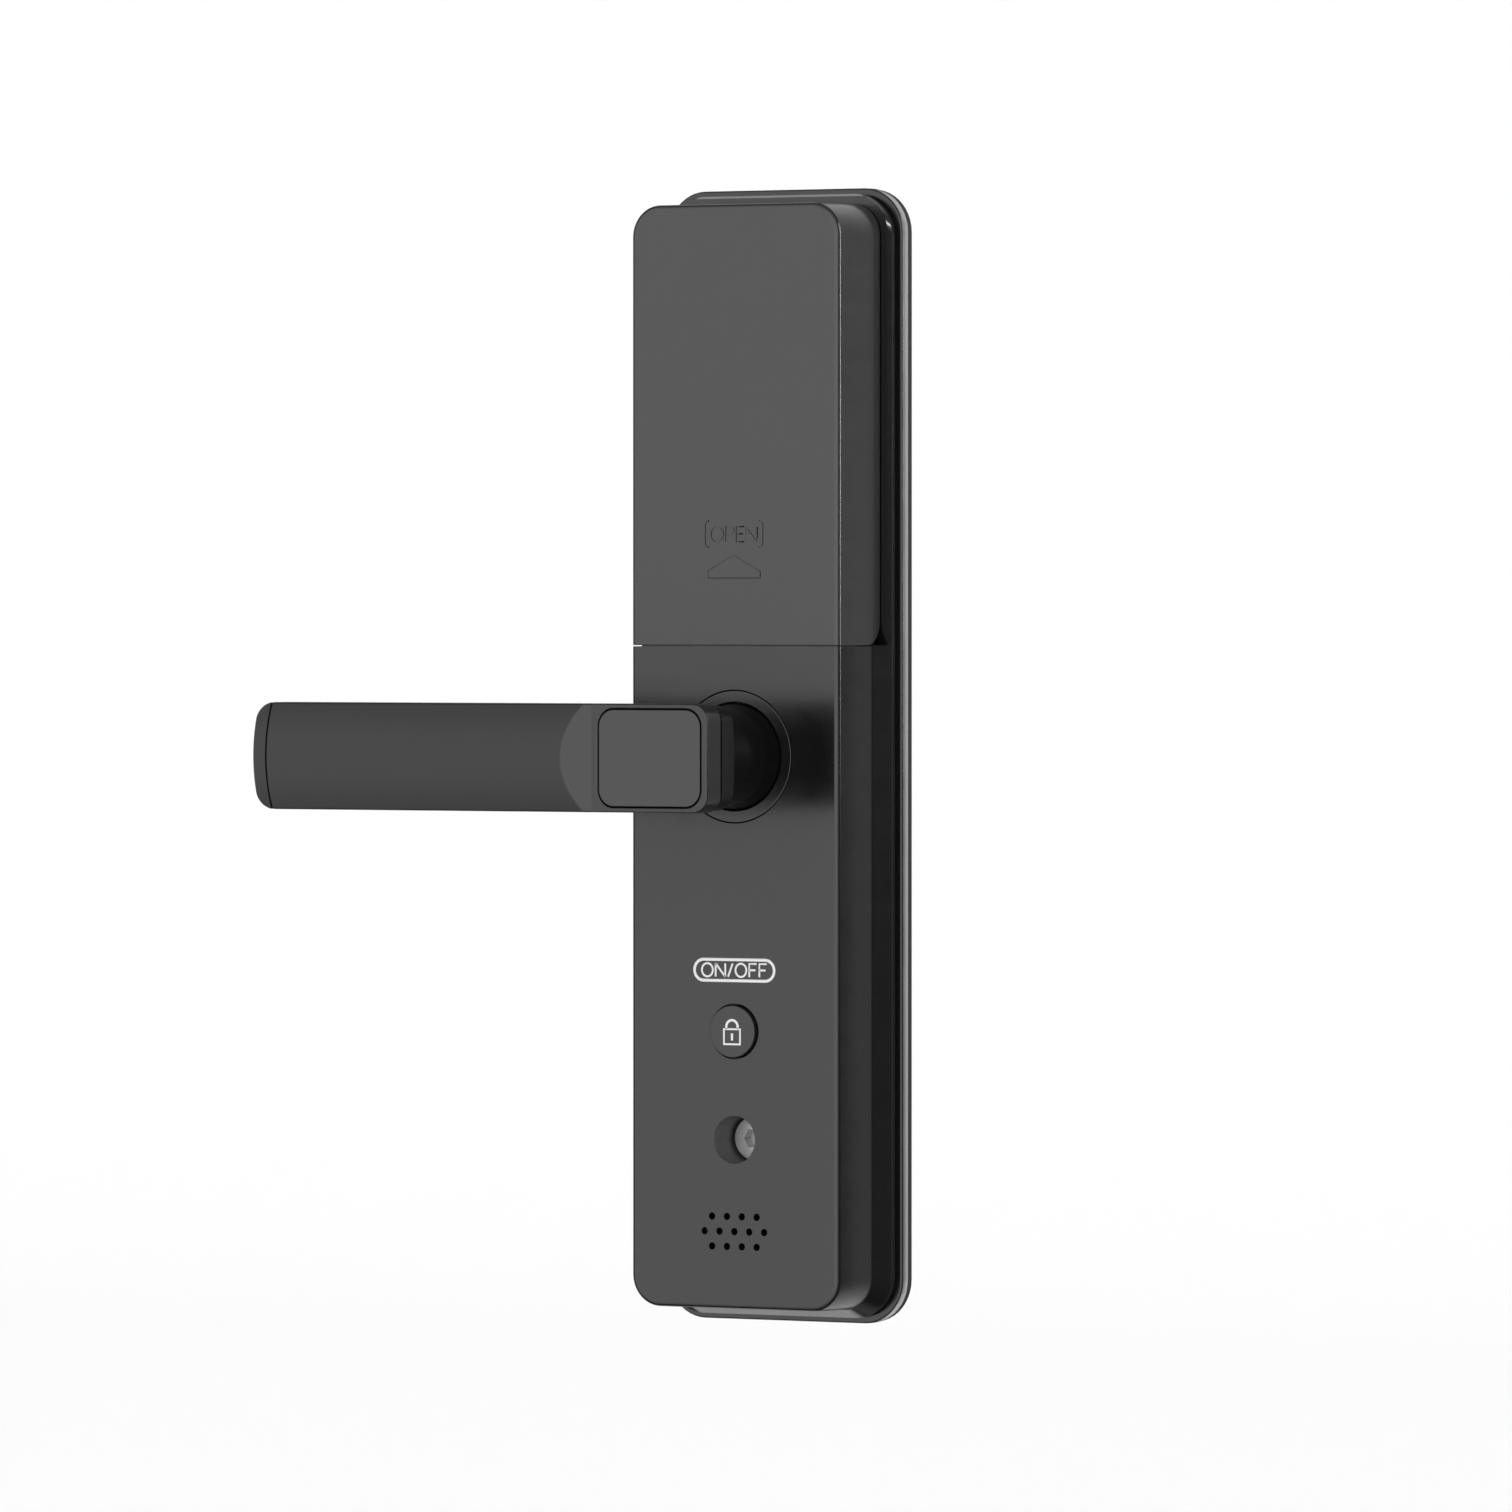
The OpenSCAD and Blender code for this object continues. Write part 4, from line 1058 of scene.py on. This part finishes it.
class LOCK_OT_battery_cover(LockPiece):
    """Sliding battery cover with its engraved legend and arrow"""

    bl_idname = "lock.battery_cover"
    bl_label = "Battery Cover"

    def build(self):
        cover = lofted("battery_cover_skin", [
            panel_loop(SHELL_W - 2 * inset, SEAM_COVER, SHELL_TOP - inset, 0, SHELL_R - inset, y)
            for inset, y in bowed_side(COVER_BACK)
        ])
        hollow = panel(
            "hollow", SHELL_W - 2 * COVER_WALL, SEAM_COVER - 5, SHELL_TOP - COVER_WALL,
            0, SHELL_R - COVER_WALL, FACE_Y + COVER_WALL, COVER_BACK + 1,
        )
        r, foot, back = 6.5, SEAM_COVER, COVER_BACK
        corner = [(back + 1, foot - 1), (back - r, foot - 1), (back - r, foot)]
        corner += [(back - r + a, foot + r + b) for a, b in arc(r, -90, 0, 16)][1:]
        corner += [(back + 1, foot + r)]
        carve(cover, hollow, prism("corner", corner, "X", -SHELL_W, SHELL_W))
        rail_in, rail_out, rail_front, rail_back = 30.1, 31.3, -12.9, -11.7
        for x0, x1 in ((-rail_out, -rail_in), (rail_in, rail_out)):
            fuse(cover, block(x0, x1, rail_front, rail_back, 40, 140))
        s = sizes()
        break_edges(cover, s.edge_break)
        half, foot, side, tip = 8.2, 48.4, 1.9, 54.6
        arrow = [
            (-half, foot), (-half, foot + side), (0, tip), (half, foot + side), (half, foot), (-half, foot),
        ]
        low, high, reach, arm = 56.7, 63.9, 9.1, 1.2
        brackets = [
            [(x * (reach - arm), high), (x * (reach - 0.5), high - 0.25), (x * reach, high - 0.9),
             (x * reach, low + 0.9), (x * (reach - 0.5), low + 0.25), (x * (reach - arm), low)]
            for x in (-1, 1)
        ]
        legend = word("OPEN", 0, 58.2, 4.1, 0.16) + brackets
        cuts = [
            strokes(name, paths, FACE_Y, 0.0004, 2 * s.engraving)
            for name, paths in (("arrow_cut", [arrow]), ("legend_cut", legend))
        ]
        combine(cover, cuts, "DIFFERENCE", tangled=True)
        dress(smooth(cover), "cover", "cover", "battery_cover")


class LOCK_OT_base_frame(LockPiece):
    """Base that flares out behind the shell"""

    bl_idname = "lock.base_frame"
    bl_label = "Base Frame"

    def build(self):
        rim_front, rim_back, rim_r = BASE_HIGH.y - 1, BASE_HIGH.y, 11.6
        rim, wall = BASE_HIGH.x - SHELL_W / 2, 1.3
        below, above = (-200, SEAM_COVER), (SEAM_COVER, 200)

        def loop(out, y, r):
            return panel_loop(SHELL_W + 2 * out, SHELL_LOW.z - out, SHELL_TOP + out, r, r, y)

        for name, front, out, cut_off in (
            ("base_flare", SHELL_BACK, 0.2, above), ("base_flare_upper", COVER_BACK + GAP, 2.07, below),
        ):
            flare = lofted(name, [
                loop(out, front, SHELL_R + out / 2), loop(rim, rim_front, rim_r), loop(rim, rim_back, rim_r),
                loop(-wall, rim_back, SHELL_R - wall), loop(-wall, front, SHELL_R - wall),
            ], closed=True)
            carve(flare, block(-60, 60, -40, 10, *cut_off))
            break_edges(flare, 0)
            dress(smooth(flare, 12), "case", "base")
        core = copy_of("base_frame", "base_core")
        break_edges(core, 0)
        cross(core, lofted("core_limit", [loop(0.1 - wall, y, SHELL_R - wall + 0.1) for y in (-60, 20)]))
        dress(smooth(core), "case", "base", "base_frame")


class LOCK_OT_back_plates(LockPiece):
    """Mounting plate and the two gaskets on it"""

    bl_idname = "lock.back_plates"
    bl_label = "Mounting Plate and Gaskets"

    def build(self):
        plate = copy_of("mounting_plate", "mounting_plate_finished")
        break_edges(plate, 0.00015)
        dress(plate, "case", "plate", "mounting_plate")
        half, high, corner = PLATE_HIGH.x - 0.02, PLATE_HIGH.z - 0.02, 12

        # Outer side faces of the plate, picked by their normal, take the bright metal: a painted highlight
        # band along the edge.
        def painted_highlight_faces(spot, normal):
            x, z = abs(spot.x), abs(spot.z)
            outermost = x > half or z > high or x > half - corner and z > high - corner
            return outermost and abs(normal.y) < 0.15

        repaint(plate, "plate_edge", painted_highlight_faces)
        refine("body_gasket", "rubber", 0.00015)
        refine("door_gasket", "rubber", 0.0002)


class LOCK_OT_rosette(LockPiece):
    """Ring set flush around the handle's neck"""

    bl_idname = "lock.rosette"
    bl_label = "Rosette Ring"

    def build(self):
        flange_r, flange_front, flange_back = 20, -29.65, -28.45
        ring = turned("rosette_ring_turned", [
            (NECK_HOLE_R, FACE_Y), (RING_R, FACE_Y), (RING_R, flange_front), (flange_r, flange_front),
            (flange_r, flange_back), (NECK_HOLE_R, flange_back),
        ], steps=128)
        break_edges(ring, 0.0003, 3)
        dress(ring, "case", "ring", "rosette_ring")


def grip_section(width, crest, side_y, seam_y, crown):
    """Half of the lever's section as (y, z) pairs, arched from side to side."""
    radius = ((width / 2) ** 2 + crown ** 2) / (2 * crown)
    sign = 1 if side_y > crest else -1
    half = math.degrees(math.asin(width / 2 / radius))
    points = [
        (crest + sign * radius * (1 - math.cos(a)), radius * math.sin(a))
        for a in (math.radians(-half + 2 * half * k / 56) for k in range(57))
    ]
    return points + [(seam_y, width / 2), (seam_y, -width / 2)]


def plan_outline(x0, x1, width, radius, tip=False):
    """Lever's outline seen from the room, rounded at the hub and, if asked, at the tip."""
    steps = sizes().curve_steps
    points = []
    for cx, cz, start in ((1, 1, 0), (-1, 1, 90), (-1, -1, 180), (1, -1, 270)):
        x = x1 if cx > 0 else x0
        if cx < 0 and not tip:
            points.append((x, cz * width / 2))
            continue
        points += [
            (x - cx * radius + a, cz * (width / 2 - radius) + b)
            for a, b in arc(radius, start, start + 90, steps)
        ]
    return points


def plan_prism(x0, x1, width, radius, tip=False):
    """The lever's outline as a deep prism, for trimming its parts."""
    return prism("plan", plan_outline(x0, x1, width, radius, tip), "Y", -90, 0)


class LOCK_OT_lever(LockPiece):
    """Lever: crowned front, back half and end cap"""

    bl_idname = "lock.lever"
    bl_label = "Lever"

    def build(self):
        edge = sizes().lever_edge
        width, back_width = LEVER_HIGH.z - LEVER_LOW.z, BACK_HIGH.z - BACK_LOW.z
        full, back_full = width + 0.001, back_width + 0.001
        seam_y, hub_x, back_hub_x = LEVER_HIGH.y, LEVER_HIGH.x, BACK_HIGH.x
        cap_x, tip_x, past_cap = LEVER_LOW.x, CAP_LOW.x, LEVER_LOW.x - 5
        corner_r = 4.6
        front_section = grip_section(width, CREST_Y, 0, seam_y, 3.2)
        back_section = grip_section(back_width, BACK_HIGH.y, -100, seam_y, 1.6)

        front = prism("lever_front_skin", front_section, "X", cap_x, hub_x + 2)
        cross(front, plan_prism(past_cap, hub_x, full, corner_r))
        scoop_x = -25
        scoop = [(scoop_x, CREST_Y), (-18.2, HUB_FACE_Y), (30, HUB_FACE_Y), (30, -90), (scoop_x, -90)]
        pocket_w = INLAY_HIGH.x - INLAY_LOW.x + 0.5
        pocket_h = INLAY_HIGH.z - INLAY_LOW.z + 0.5
        pocket = panel(
            "pocket", pocket_w, -pocket_h / 2, pocket_h / 2, 4.85, 4.85, HUB_FACE_Y - 1, INLAY_HIGH.y
        )
        pocket.data.transform(Matrix.Translation((INLAY_X * MM, 0, 0)))
        carve(front, prism("scoop", scoop, "Z", -30, 30), pocket)
        break_edges(front, edge, 3, 24)
        dress(front, "handle", "lever", "lever_front")
        repaint(front, "hub", lambda spot, normal: normal.y < -0.7 and spot.x > scoop_x - 1.5)

        back = prism("lever_back_skin", back_section, "X", cap_x, hub_x)
        cross(back, plan_prism(past_cap, back_hub_x, back_full, corner_r))
        neck_socket = rod(13.25, BACK_HIGH.y - 2.5, 0, steps=96)
        deep, groove_w = 0.9, 1.1
        groove = block(cap_x - 20, hub_x + 20, seam_y - 1, seam_y + groove_w, -40, 40)
        carve(groove, plan_prism(past_cap, back_hub_x - deep, back_width - 2 * deep, corner_r - deep))
        carve(back, neck_socket, groove)
        break_edges(back, edge, 3, 24)
        # The back half carries the painted-shade copy of the lever paint.
        dress(back, "handle", "lever", "lever_back", finish="lever_rear")

        cap = prism("lever_cap_skin", front_section, "X", tip_x - 1, CAP_HIGH.x)
        cross(cap, plan_prism(tip_x, hub_x, full, corner_r, True))
        cap_back = prism("cap_back", back_section, "X", tip_x - 1, CAP_HIGH.x)
        cross(cap_back, plan_prism(tip_x + 0.5, hub_x, back_full, corner_r, True))
        fuse(cap, cap_back)
        break_edges(cap, edge, 3, 24)
        dress(cap, "handle", "lever", "lever_end_cap")


class LOCK_OT_lever_inlay(LockPiece):
    """Plate let into the hub's flat face"""

    bl_idname = "lock.lever_inlay"
    bl_label = "Hub Inlay"

    def build(self):
        w, h, r = INLAY_HIGH.x - INLAY_LOW.x, INLAY_HIGH.z - INLAY_LOW.z, 4.6
        inlay = panel("lever_inlay_plate", w, -h / 2, h / 2, r, r, INLAY_LOW.y, INLAY_HIGH.y)
        inlay.data.transform(Matrix.Translation((INLAY_X * MM, 0, 0)))
        break_edges(inlay, 0.0003, 3)
        dress(inlay, "handle", "inlay", "lever_inlay")


class LOCK_OT_handle_works(LockPiece):
    """Neck, spindle, hub, bearing, springs and the small parts around the handle's axis"""

    bl_idname = "lock.handle_works"
    bl_label = "Handle Works"

    def build(self):
        # The neck takes the finish with painted shade, a darker copy of the base colour.
        for node, slot in (
            ("handle_neck", "neck"), ("spindle", "spindle_steel"), ("drive_hub", "cast_zinc"),
            ("spring_housing", "cast_zinc"), ("bearing_bush", "bush_nylon"), ("thrust_washer", "bush_nylon"),
            ("retaining_clip", "spring_steel"), ("set_screw", "screw_steel"),
        ):
            refine(node, slot)
        finish_node("return_spring", "spring_steel")


class LOCK_OT_lock_button(LockPiece):
    """Round lock button with its printed padlock, plunger and spring"""

    bl_idname = "lock.lock_button"
    bl_label = "Lock Button"

    def build(self):
        front, r = BUTTON_LOW.y, BUTTON_R
        flange_y, flange_r, stem_r = FACE_Y + SHELL_WALL + 0.1, 8.9, 2.2
        draft, round_r = 0.22, 0.25
        rim = [(r, flange_y), (r, front + 1.15), (r - draft, front + round_r)]
        rim += [(r - draft - d, front + round_r - rise) for d, rise in edge_steps(round_r, 5)]
        button = turned("lock_button_turned", [
            (0, BUTTON_HIGH.y), (stem_r, BUTTON_HIGH.y), (stem_r, flange_y + 1), (flange_r, flange_y + 1),
            (flange_r, flange_y), *rim, (0, front),
        ], 0, BUTTON_Z, 96)
        dress(smooth(button), "button", "button", "lock_button")

        z = BUTTON_Z
        low, high, half, bow_r, leg = z - 3.45, z + 0.65, 2.55, 1.8, 0.65
        bow = [(-bow_r, high), (-bow_r, high + leg)]
        bow += [(a, high + leg + b) for a, b in arc(bow_r, 180, 0, 14)][1:] + [(bow_r, high)]
        body = [(-half, low), (half, low), (half, high), (-half, high), (-half, low)]
        keyhole = [(0, z - 2.4), (0, z - 0.5)]
        stroke = 0.85 * sizes().ink_stroke
        icon = strokes("padlock_print", [bow, body, keyhole], front - INK_LIFT, stroke, INK_HEIGHT)
        dress(icon, "button", "button", finish="ink")
        refine("switch_plunger", "plunger")
        low, high = node_box("button_spring")
        wire, travel = 0.3, 1.0
        reach = (high.x - low.x) / 2 - wire
        path = [(x, y, BUTTON_Z + z) for x, y, z in helix((reach, reach), low.y + wire, high.y - wire, 5)]
        spring = coil("button_spring_coil", [path], wire, "case", "spring_steel", "button_spring")
        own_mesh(spring)


class LOCK_OT_legend(LockPiece):
    """Printed pill outline with its on and off words"""

    bl_idname = "lock.legend"
    bl_label = "Printed Legend"

    def build(self):
        z, half, r = -57.9, 12.6, 2.85
        right = [(half - r + a, z + b) for a, b in arc(r, 90, -90, 16)]
        left = [(-half + r + a, z + b) for a, b in arc(r, 270, 90, 16)]
        pill = right + left + [right[0]]
        words = word("ON/OFF", 0, z - 1.8, 3.6, 0.25)
        for name, paths, stroke in (
            ("pill_print", [pill], sizes().ink_stroke), ("on_off_print", words, 0.7 * sizes().ink_stroke),
        ):
            dress(strokes(name, paths, FACE_Y - INK_LIFT, stroke, INK_HEIGHT), "case", "shell", finish="ink")


class LOCK_OT_fasteners(LockPiece):
    """Through-bolts and screws"""

    bl_idname = "lock.fasteners"
    bl_label = "Fasteners"

    def build(self):
        for node in ("shell_screws", "board_screws", "housing_screws", "hub_screws"):
            solids = solids_of(node)
            size = solids[0].size
            inward = solids[0].slim_end(1, size.x * 0.8)
            head_r = size.x / 2
            spots = [
                (solid.middle.x, (solid.low if inward > 0 else solid.high).y, solid.middle.z,
                 0 if inward > 0 else 180, 37 * k, 0)
                for k, solid in enumerate(solids)
            ]
            pattern = screw(head_r, head_r * 0.62, head_r * 0.55, size.y)
            copies(node + "_threaded", pattern, spots, BODY_OF[node], "screw_steel", node)

        head_r, shank_r, thread_r = BOLT_HIGH.x, 4.0, 3.0
        front, reach = BOLT_LOW.y, BOLT_HIGH.y
        pitch = sizes().thread_pitch / MM
        under_head = front + 4.0
        profile = [
            (0, front), (head_r - 0.4, front), (head_r - 0.12, front + 0.12), (head_r, front + 0.4),
            (head_r, under_head - 0.3), (head_r - 0.3, under_head), (shank_r, under_head), (shank_r, -1.0),
            (thread_r - 0.3, -0.3),
        ]
        profile += ribbed(thread_r, 0.2, reach - 0.9, pitch, 0.34) + [(thread_r - 0.6, reach), (0, reach)]
        bolt = turned("bolt", profile, steps=64)
        hex_socket = rod(2.9, front - 1, front + 3.2, steps=6)
        carve(bolt, hex_socket)
        copies(
            "through_bolts_threaded", bolt, [(0, 0, z, 0, 0, 0) for z in (RECESS_Z, -RECESS_Z)], "case",
            "bolt_steel", "through_bolts",
        )


class LOCK_OT_battery_compartment(LockPiece):
    """Tray, cells and contacts behind the cover"""

    bl_idname = "lock.battery_compartment"
    bl_label = "Battery Compartment"

    def build(self):
        refine("battery_tray", "tray")
        refine("contact_plates", "contact_nickel", 0.00005)
        cells = solids_of("batteries")
        r = cells[0].size.z / 2
        half = cells[0].size.x / 2
        body = turned("cell", [
            (r - 1.2, half - 1.25), (r - 0.9, half - 1.05), (r - 0.35, half - 1.1), (r, half - 1.6),
            (r, -half + 0.7), (r - 0.3, -half + 0.25), (r - 0.8, -half + 0.1), (r - 1.1, -half + 0.3),
            (r - 1.1, -half + 0.8), (r - 1.2, -half + 1.0),
        ], steps=64)
        core = turned("cell_core", [
            (0, half), (2.2, half), (2.5, half - 0.15), (2.6, half - 0.5), (2.7, half - 1.3),
            (r - 1.0, half - 1.3), (r - 1.0, -half + 0.45), (r - 1.4, -half + 0.2),
            (3.2, -half + 0.2), (2.8, -half), (0, -half),
        ], steps=64)
        spots = [
            (*cell.middle, 0, 0, -90 * cell.slim_end(0, r)) for cell in cells
        ]
        copies("cell_sleeves", body, spots, "case", "cell_jacket", "batteries")
        copies("cell_ends", core, spots, "case", "contact_nickel")
        paths, wire, wide_r, tight_r = [], 0.35, 4.6, 2.6
        for spring, cell in zip(solids_of("contact_springs"), cells):
            outward = 1 if spring.middle.x > cell.middle.x else -1
            wide, tight = (spring.high.x, spring.low.x) if outward > 0 else (spring.low.x, spring.high.x)
            paths.append([
                (y, cell.middle.y + x, cell.middle.z + z)
                for x, y, z in helix((wide_r, tight_r), wide - outward * wire, tight + outward * wire, 2.5)
            ])
        coil("contact_spring_coils", paths, wire, "case", "contact_nickel", "contact_springs")


class LOCK_OT_electronics(LockPiece):
    """Control board, its parts, the switch and the speaker"""

    bl_idname = "lock.electronics"
    bl_label = "Electronics"

    def build(self):
        refine("control_board", "board", 0.0001)
        refine("board_chips", "chip")
        refine("cable_socket", "socket_nylon")
        refine("tact_switch", "switch_body")
        refine("speaker_gasket", "foam")
        board_y = node_box("control_board")[0].y
        spots, pitch, smallest = [], 1.27, 4.5
        for chip in solids_of("board_chips"):
            if min(chip.size.x, chip.size.z) < smallest:
                continue
            count = int((chip.size.z - 0.8) / pitch)
            for k in range(count):
                z = chip.middle.z + (k - (count - 1) / 2) * pitch
                spots.append((chip.high.x, board_y, z, 0, 0, 0))
                spots.append((chip.low.x, board_y, z, 0, 180, 0))
        lead = [
            (-0.1, -1.1), (0.5, -1.1), (0.75, -0.3), (1.1, -0.3), (1.1, -0.04), (0.55, -0.04),
            (0.32, -0.86), (-0.1, -0.86),
        ]
        copies("chip_leads", prism("lead", lead, "Z", -0.2, 0.2), spots, "case", "contact_nickel")

        low, high = node_box("speaker")
        y, z, r = low.y, (low.z + high.z) / 2, high.x
        cone = [
            (0, y + 1.1), (1.2, y + 0.95), (2.3, y + 1.25), (3.0, y + 2.0), (3.1, y + 2.2), (7.4, y + 0.7),
            (7.9, y + 0.5), (8.5, y + 0.18), (9.1, y + 0.5), (9.5, y + 0.7), (9.6, y + 0.1), (r - 0.2, y),
        ]
        basket = [
            (r, y + 0.2), (r, y + 1.2), (r - 0.6, y + 2.0), (7.9, y + 2.6), (7.5, y + 2.7),
            (7.5, high.y - 0.3), (7.2, high.y), (0, high.y),
        ]
        speaker = turned("speaker_unit", cone + basket, 0, z, 96)
        dress(smooth(speaker, 50), "case", "speaker", "speaker")


# ---------- stage ----------


# Brightness of the studio in mirrored light: (degrees round from straight ahead towards +X, level)
PANELS_AROUND = (
    (-180, 1.2), (-162, 1.0), (-150, 0.03), (-75, 0.03), (-54, 1.8), (-31, 2.0), (0, 2.6), (40, 2.5),
    (62, 1.0), (80, 0.2), (100, 0.12), (125, 0.12), (140, 0.12), (147, 0.22), (153, 0.6), (162, 1.0),
    (180, 1.2),
)
# The same by height: (degrees above the horizon, share)
PANELS_UPWARD = (
    (-90, 0.1), (-55, 0.35), (-38, 0.75), (-12, 1.0), (12, 1.0), (38, 0.75), (55, 0.35), (90, 0.1),
)
BRIGHTEST_PANEL = 2.6
# Round panels behind, above and below, that light the base's top and bottom slopes
REAR_PANEL = (-0.515, 0.56, 0.647)
REAR_PANEL_LEVEL = 1.3
OPEN_WHITE = 1.12


def studio_world():
    """White surroundings, with the studio's panels and dark gaps in what shiny surfaces mirror."""
    world = bpy.data.worlds.new("studio")
    world.use_nodes = True
    t = Nodes(world.node_tree)
    place = t.add("ShaderNodeTexCoord").outputs["Generated"]
    x, y, z = t.add("ShaderNodeSeparateXYZ", Vector=place).outputs

    def ramp(value, stops):
        made = t.add("ShaderNodeValToRGB", Fac=value)
        made.color_ramp.interpolation = "EASE"
        elements = made.color_ramp.elements
        while len(elements) < len(stops):
            elements.new(0.5)
        for element, (position, level) in zip(elements, stops):
            element.position = position
            element.color = (level, level, level, 1)
        return made.outputs[0]

    turn = t.math("ARCTAN2", x, t.math("MULTIPLY", y, -1.0))
    round_share = t.math("MULTIPLY_ADD", turn, 1 / (2 * math.pi), 0.5)
    around = ramp(
        round_share, [(0.5 + angle / 360, level / BRIGHTEST_PANEL) for angle, level in PANELS_AROUND]
    )
    upward = ramp(
        t.math("MULTIPLY_ADD", z, 0.5, 0.5),
        [(0.5 + math.sin(math.radians(rise)) / 2, level) for rise, level in PANELS_UPWARD],
    )
    panels = t.math("MULTIPLY", t.math("MULTIPLY", around, upward), BRIGHTEST_PANEL)
    folded = t.add("ShaderNodeCombineXYZ", X=x, Y=y, Z=t.math("ABSOLUTE", z))
    facing = t.add("ShaderNodeVectorMath", {"operation": "DOT_PRODUCT"})
    t.plug(facing.inputs[0], folded.outputs[0])
    t.plug(facing.inputs[1], REAR_PANEL)
    rear = t.add(
        "ShaderNodeMapRange", {"interpolation_type": "SMOOTHSTEP"}, Value=facing.outputs["Value"],
        From_Min=math.cos(math.radians(14)), From_Max=math.cos(math.radians(7)), To_Max=REAR_PANEL_LEVEL,
    )
    mirrored = t.add("ShaderNodeBackground", Color=t.math("ADD", panels, rear.outputs["Result"]))
    white = t.add("ShaderNodeBackground", Color=(1, 1, 1, 1), Strength=OPEN_WHITE)
    rays = t.add("ShaderNodeLightPath").outputs["Is Glossy Ray"]
    choice = t.add("ShaderNodeMixShader")
    for socket, output in zip(choice.inputs, (rays, white.outputs[0], mirrored.outputs[0])):
        t.plug(socket, output)
    t.plug(t.tree.nodes["World Output"].inputs["Surface"], choice.outputs[0])
    return world


def soft_light(name, place, target, width, height, power):
    """Rectangular softbox aimed at a point, all in metres."""
    data = bpy.data.lights.new(name, "AREA")
    data.shape = "RECTANGLE"
    data.size, data.size_y = width, height
    data.energy = power
    lamp = placed(name, data)
    lamp.location = place
    lamp.rotation_euler = (Vector(target) - Vector(place)).to_track_quat("-Z", "Y").to_euler()
    lamp.visible_camera = False
    return lamp


class LOCK_OT_stage(bpy.types.Operator):
    """Camera, pale floor with a curved backdrop, and soft lights"""

    bl_idname = "lock.stage"
    bl_label = "Stage"
    bl_options = {"REGISTER", "UNDO"}

    def execute(self, context):
        scene = context.scene
        azimuth, elevation = math.radians(31.0), math.radians(0.7)
        away, across, raised = 3.214, 0.00588, 0.00016
        back = Vector((
            math.sin(azimuth) * math.cos(elevation), -math.cos(azimuth) * math.cos(elevation),
            math.sin(elevation),
        ))
        right = Vector((math.cos(azimuth), math.sin(azimuth), 0))
        up = right.cross(-back)
        data = bpy.data.cameras.new("camera")
        data.sensor_width = 36
        data.lens = 282.4
        data.clip_start, data.clip_end = 0.05, 60
        camera = placed("camera", data)
        camera.location = Vector((0, FACE_Y, 0)) * MM + back * away + right * across + up * raised
        camera.rotation_mode = "QUATERNION"
        camera.rotation_quaternion = Matrix((right, up, back)).transposed().to_quaternion()
        scene.camera = camera

        low, half, rear, bend, top = CAD_BOX[0].z - 0.12, 7, 1.6, 1.2, 5
        path = [(-half, low), (rear, low)]
        path += [(rear + a, low + bend + b) for a, b in arc(bend, -90, 0, 16)][1:]
        path += [(rear + bend, low + top)]
        mesh_maker = bmesh.new()
        rows = [[mesh_maker.verts.new((x, y, z)) for y, z in path] for x in (-half, half)]
        for k in range(len(path) - 1):
            face = mesh_maker.faces.new((rows[0][k], rows[1][k], rows[1][k + 1], rows[0][k + 1]))
            face.smooth = True
        mesh = bpy.data.meshes.new("sweep")
        mesh_maker.to_mesh(mesh)
        mesh_maker.free()
        sweep = placed("studio_sweep", mesh)
        paper = Finish("studio_paper", (0.93, 0.93, 0.93), 0.9)
        paper.bumps((paper.noise(30), 0.05, 0.001))
        mesh.materials.append(paper.material)
        sweep.visible_glossy = False

        scene.world = studio_world()
        side, out, height = math.radians(122), 0.9, 0.30
        strip = soft_light(
            "side_strip", (out * math.sin(side), -out * math.cos(side), height), (0, 0, height),
            0.06, 0.56, 4.4,
        )
        strip.visible_diffuse = False
        scene.view_settings.view_transform = "Standard"
        return {"FINISHED"}


class LOCK_PT_panel(bpy.types.Panel):
    """Lists the lock's pieces in the 3D view's sidebar"""

    bl_label = "Smart Lock"
    bl_idname = "LOCK_PT_panel"
    bl_space_type = "VIEW_3D"
    bl_region_type = "UI"
    bl_category = "Smart Lock"

    def draw(self, context):
        layout = self.layout
        for group in (context.scene.lock_sizes, context.scene.lock_colours):
            box = layout.box()
            for key in group.__annotations__:
                box.prop(group, key)
        for piece in PIECES:
            layout.operator(piece.bl_idname)


PIECES = (
    LOCK_OT_front_shell,
    LOCK_OT_battery_cover,
    LOCK_OT_base_frame,
    LOCK_OT_back_plates,
    LOCK_OT_rosette,
    LOCK_OT_lever,
    LOCK_OT_lever_inlay,
    LOCK_OT_handle_works,
    LOCK_OT_lock_button,
    LOCK_OT_legend,
    LOCK_OT_fasteners,
    LOCK_OT_battery_compartment,
    LOCK_OT_electronics,
    LOCK_OT_stage,
)
CLASSES = (LockSizes, LockColours, *PIECES, LOCK_PT_panel)


def register():
    for kind in CLASSES:
        bpy.utils.register_class(kind)
    bpy.types.Scene.lock_sizes = PointerProperty(type=LockSizes)
    bpy.types.Scene.lock_colours = PointerProperty(type=LockColours)


def unregister():
    del bpy.types.Scene.lock_sizes
    del bpy.types.Scene.lock_colours
    for kind in reversed(CLASSES):
        bpy.utils.unregister_class(kind)


def main():
    register()
    make_finishes()
    for maker in (stroke_tree, wire_tree, scatter_tree):
        maker()
    for piece in PIECES:
        area, name = piece.bl_idname.split(".")
        getattr(getattr(bpy.ops, area), name)()


if __name__ == "__main__":
    main()
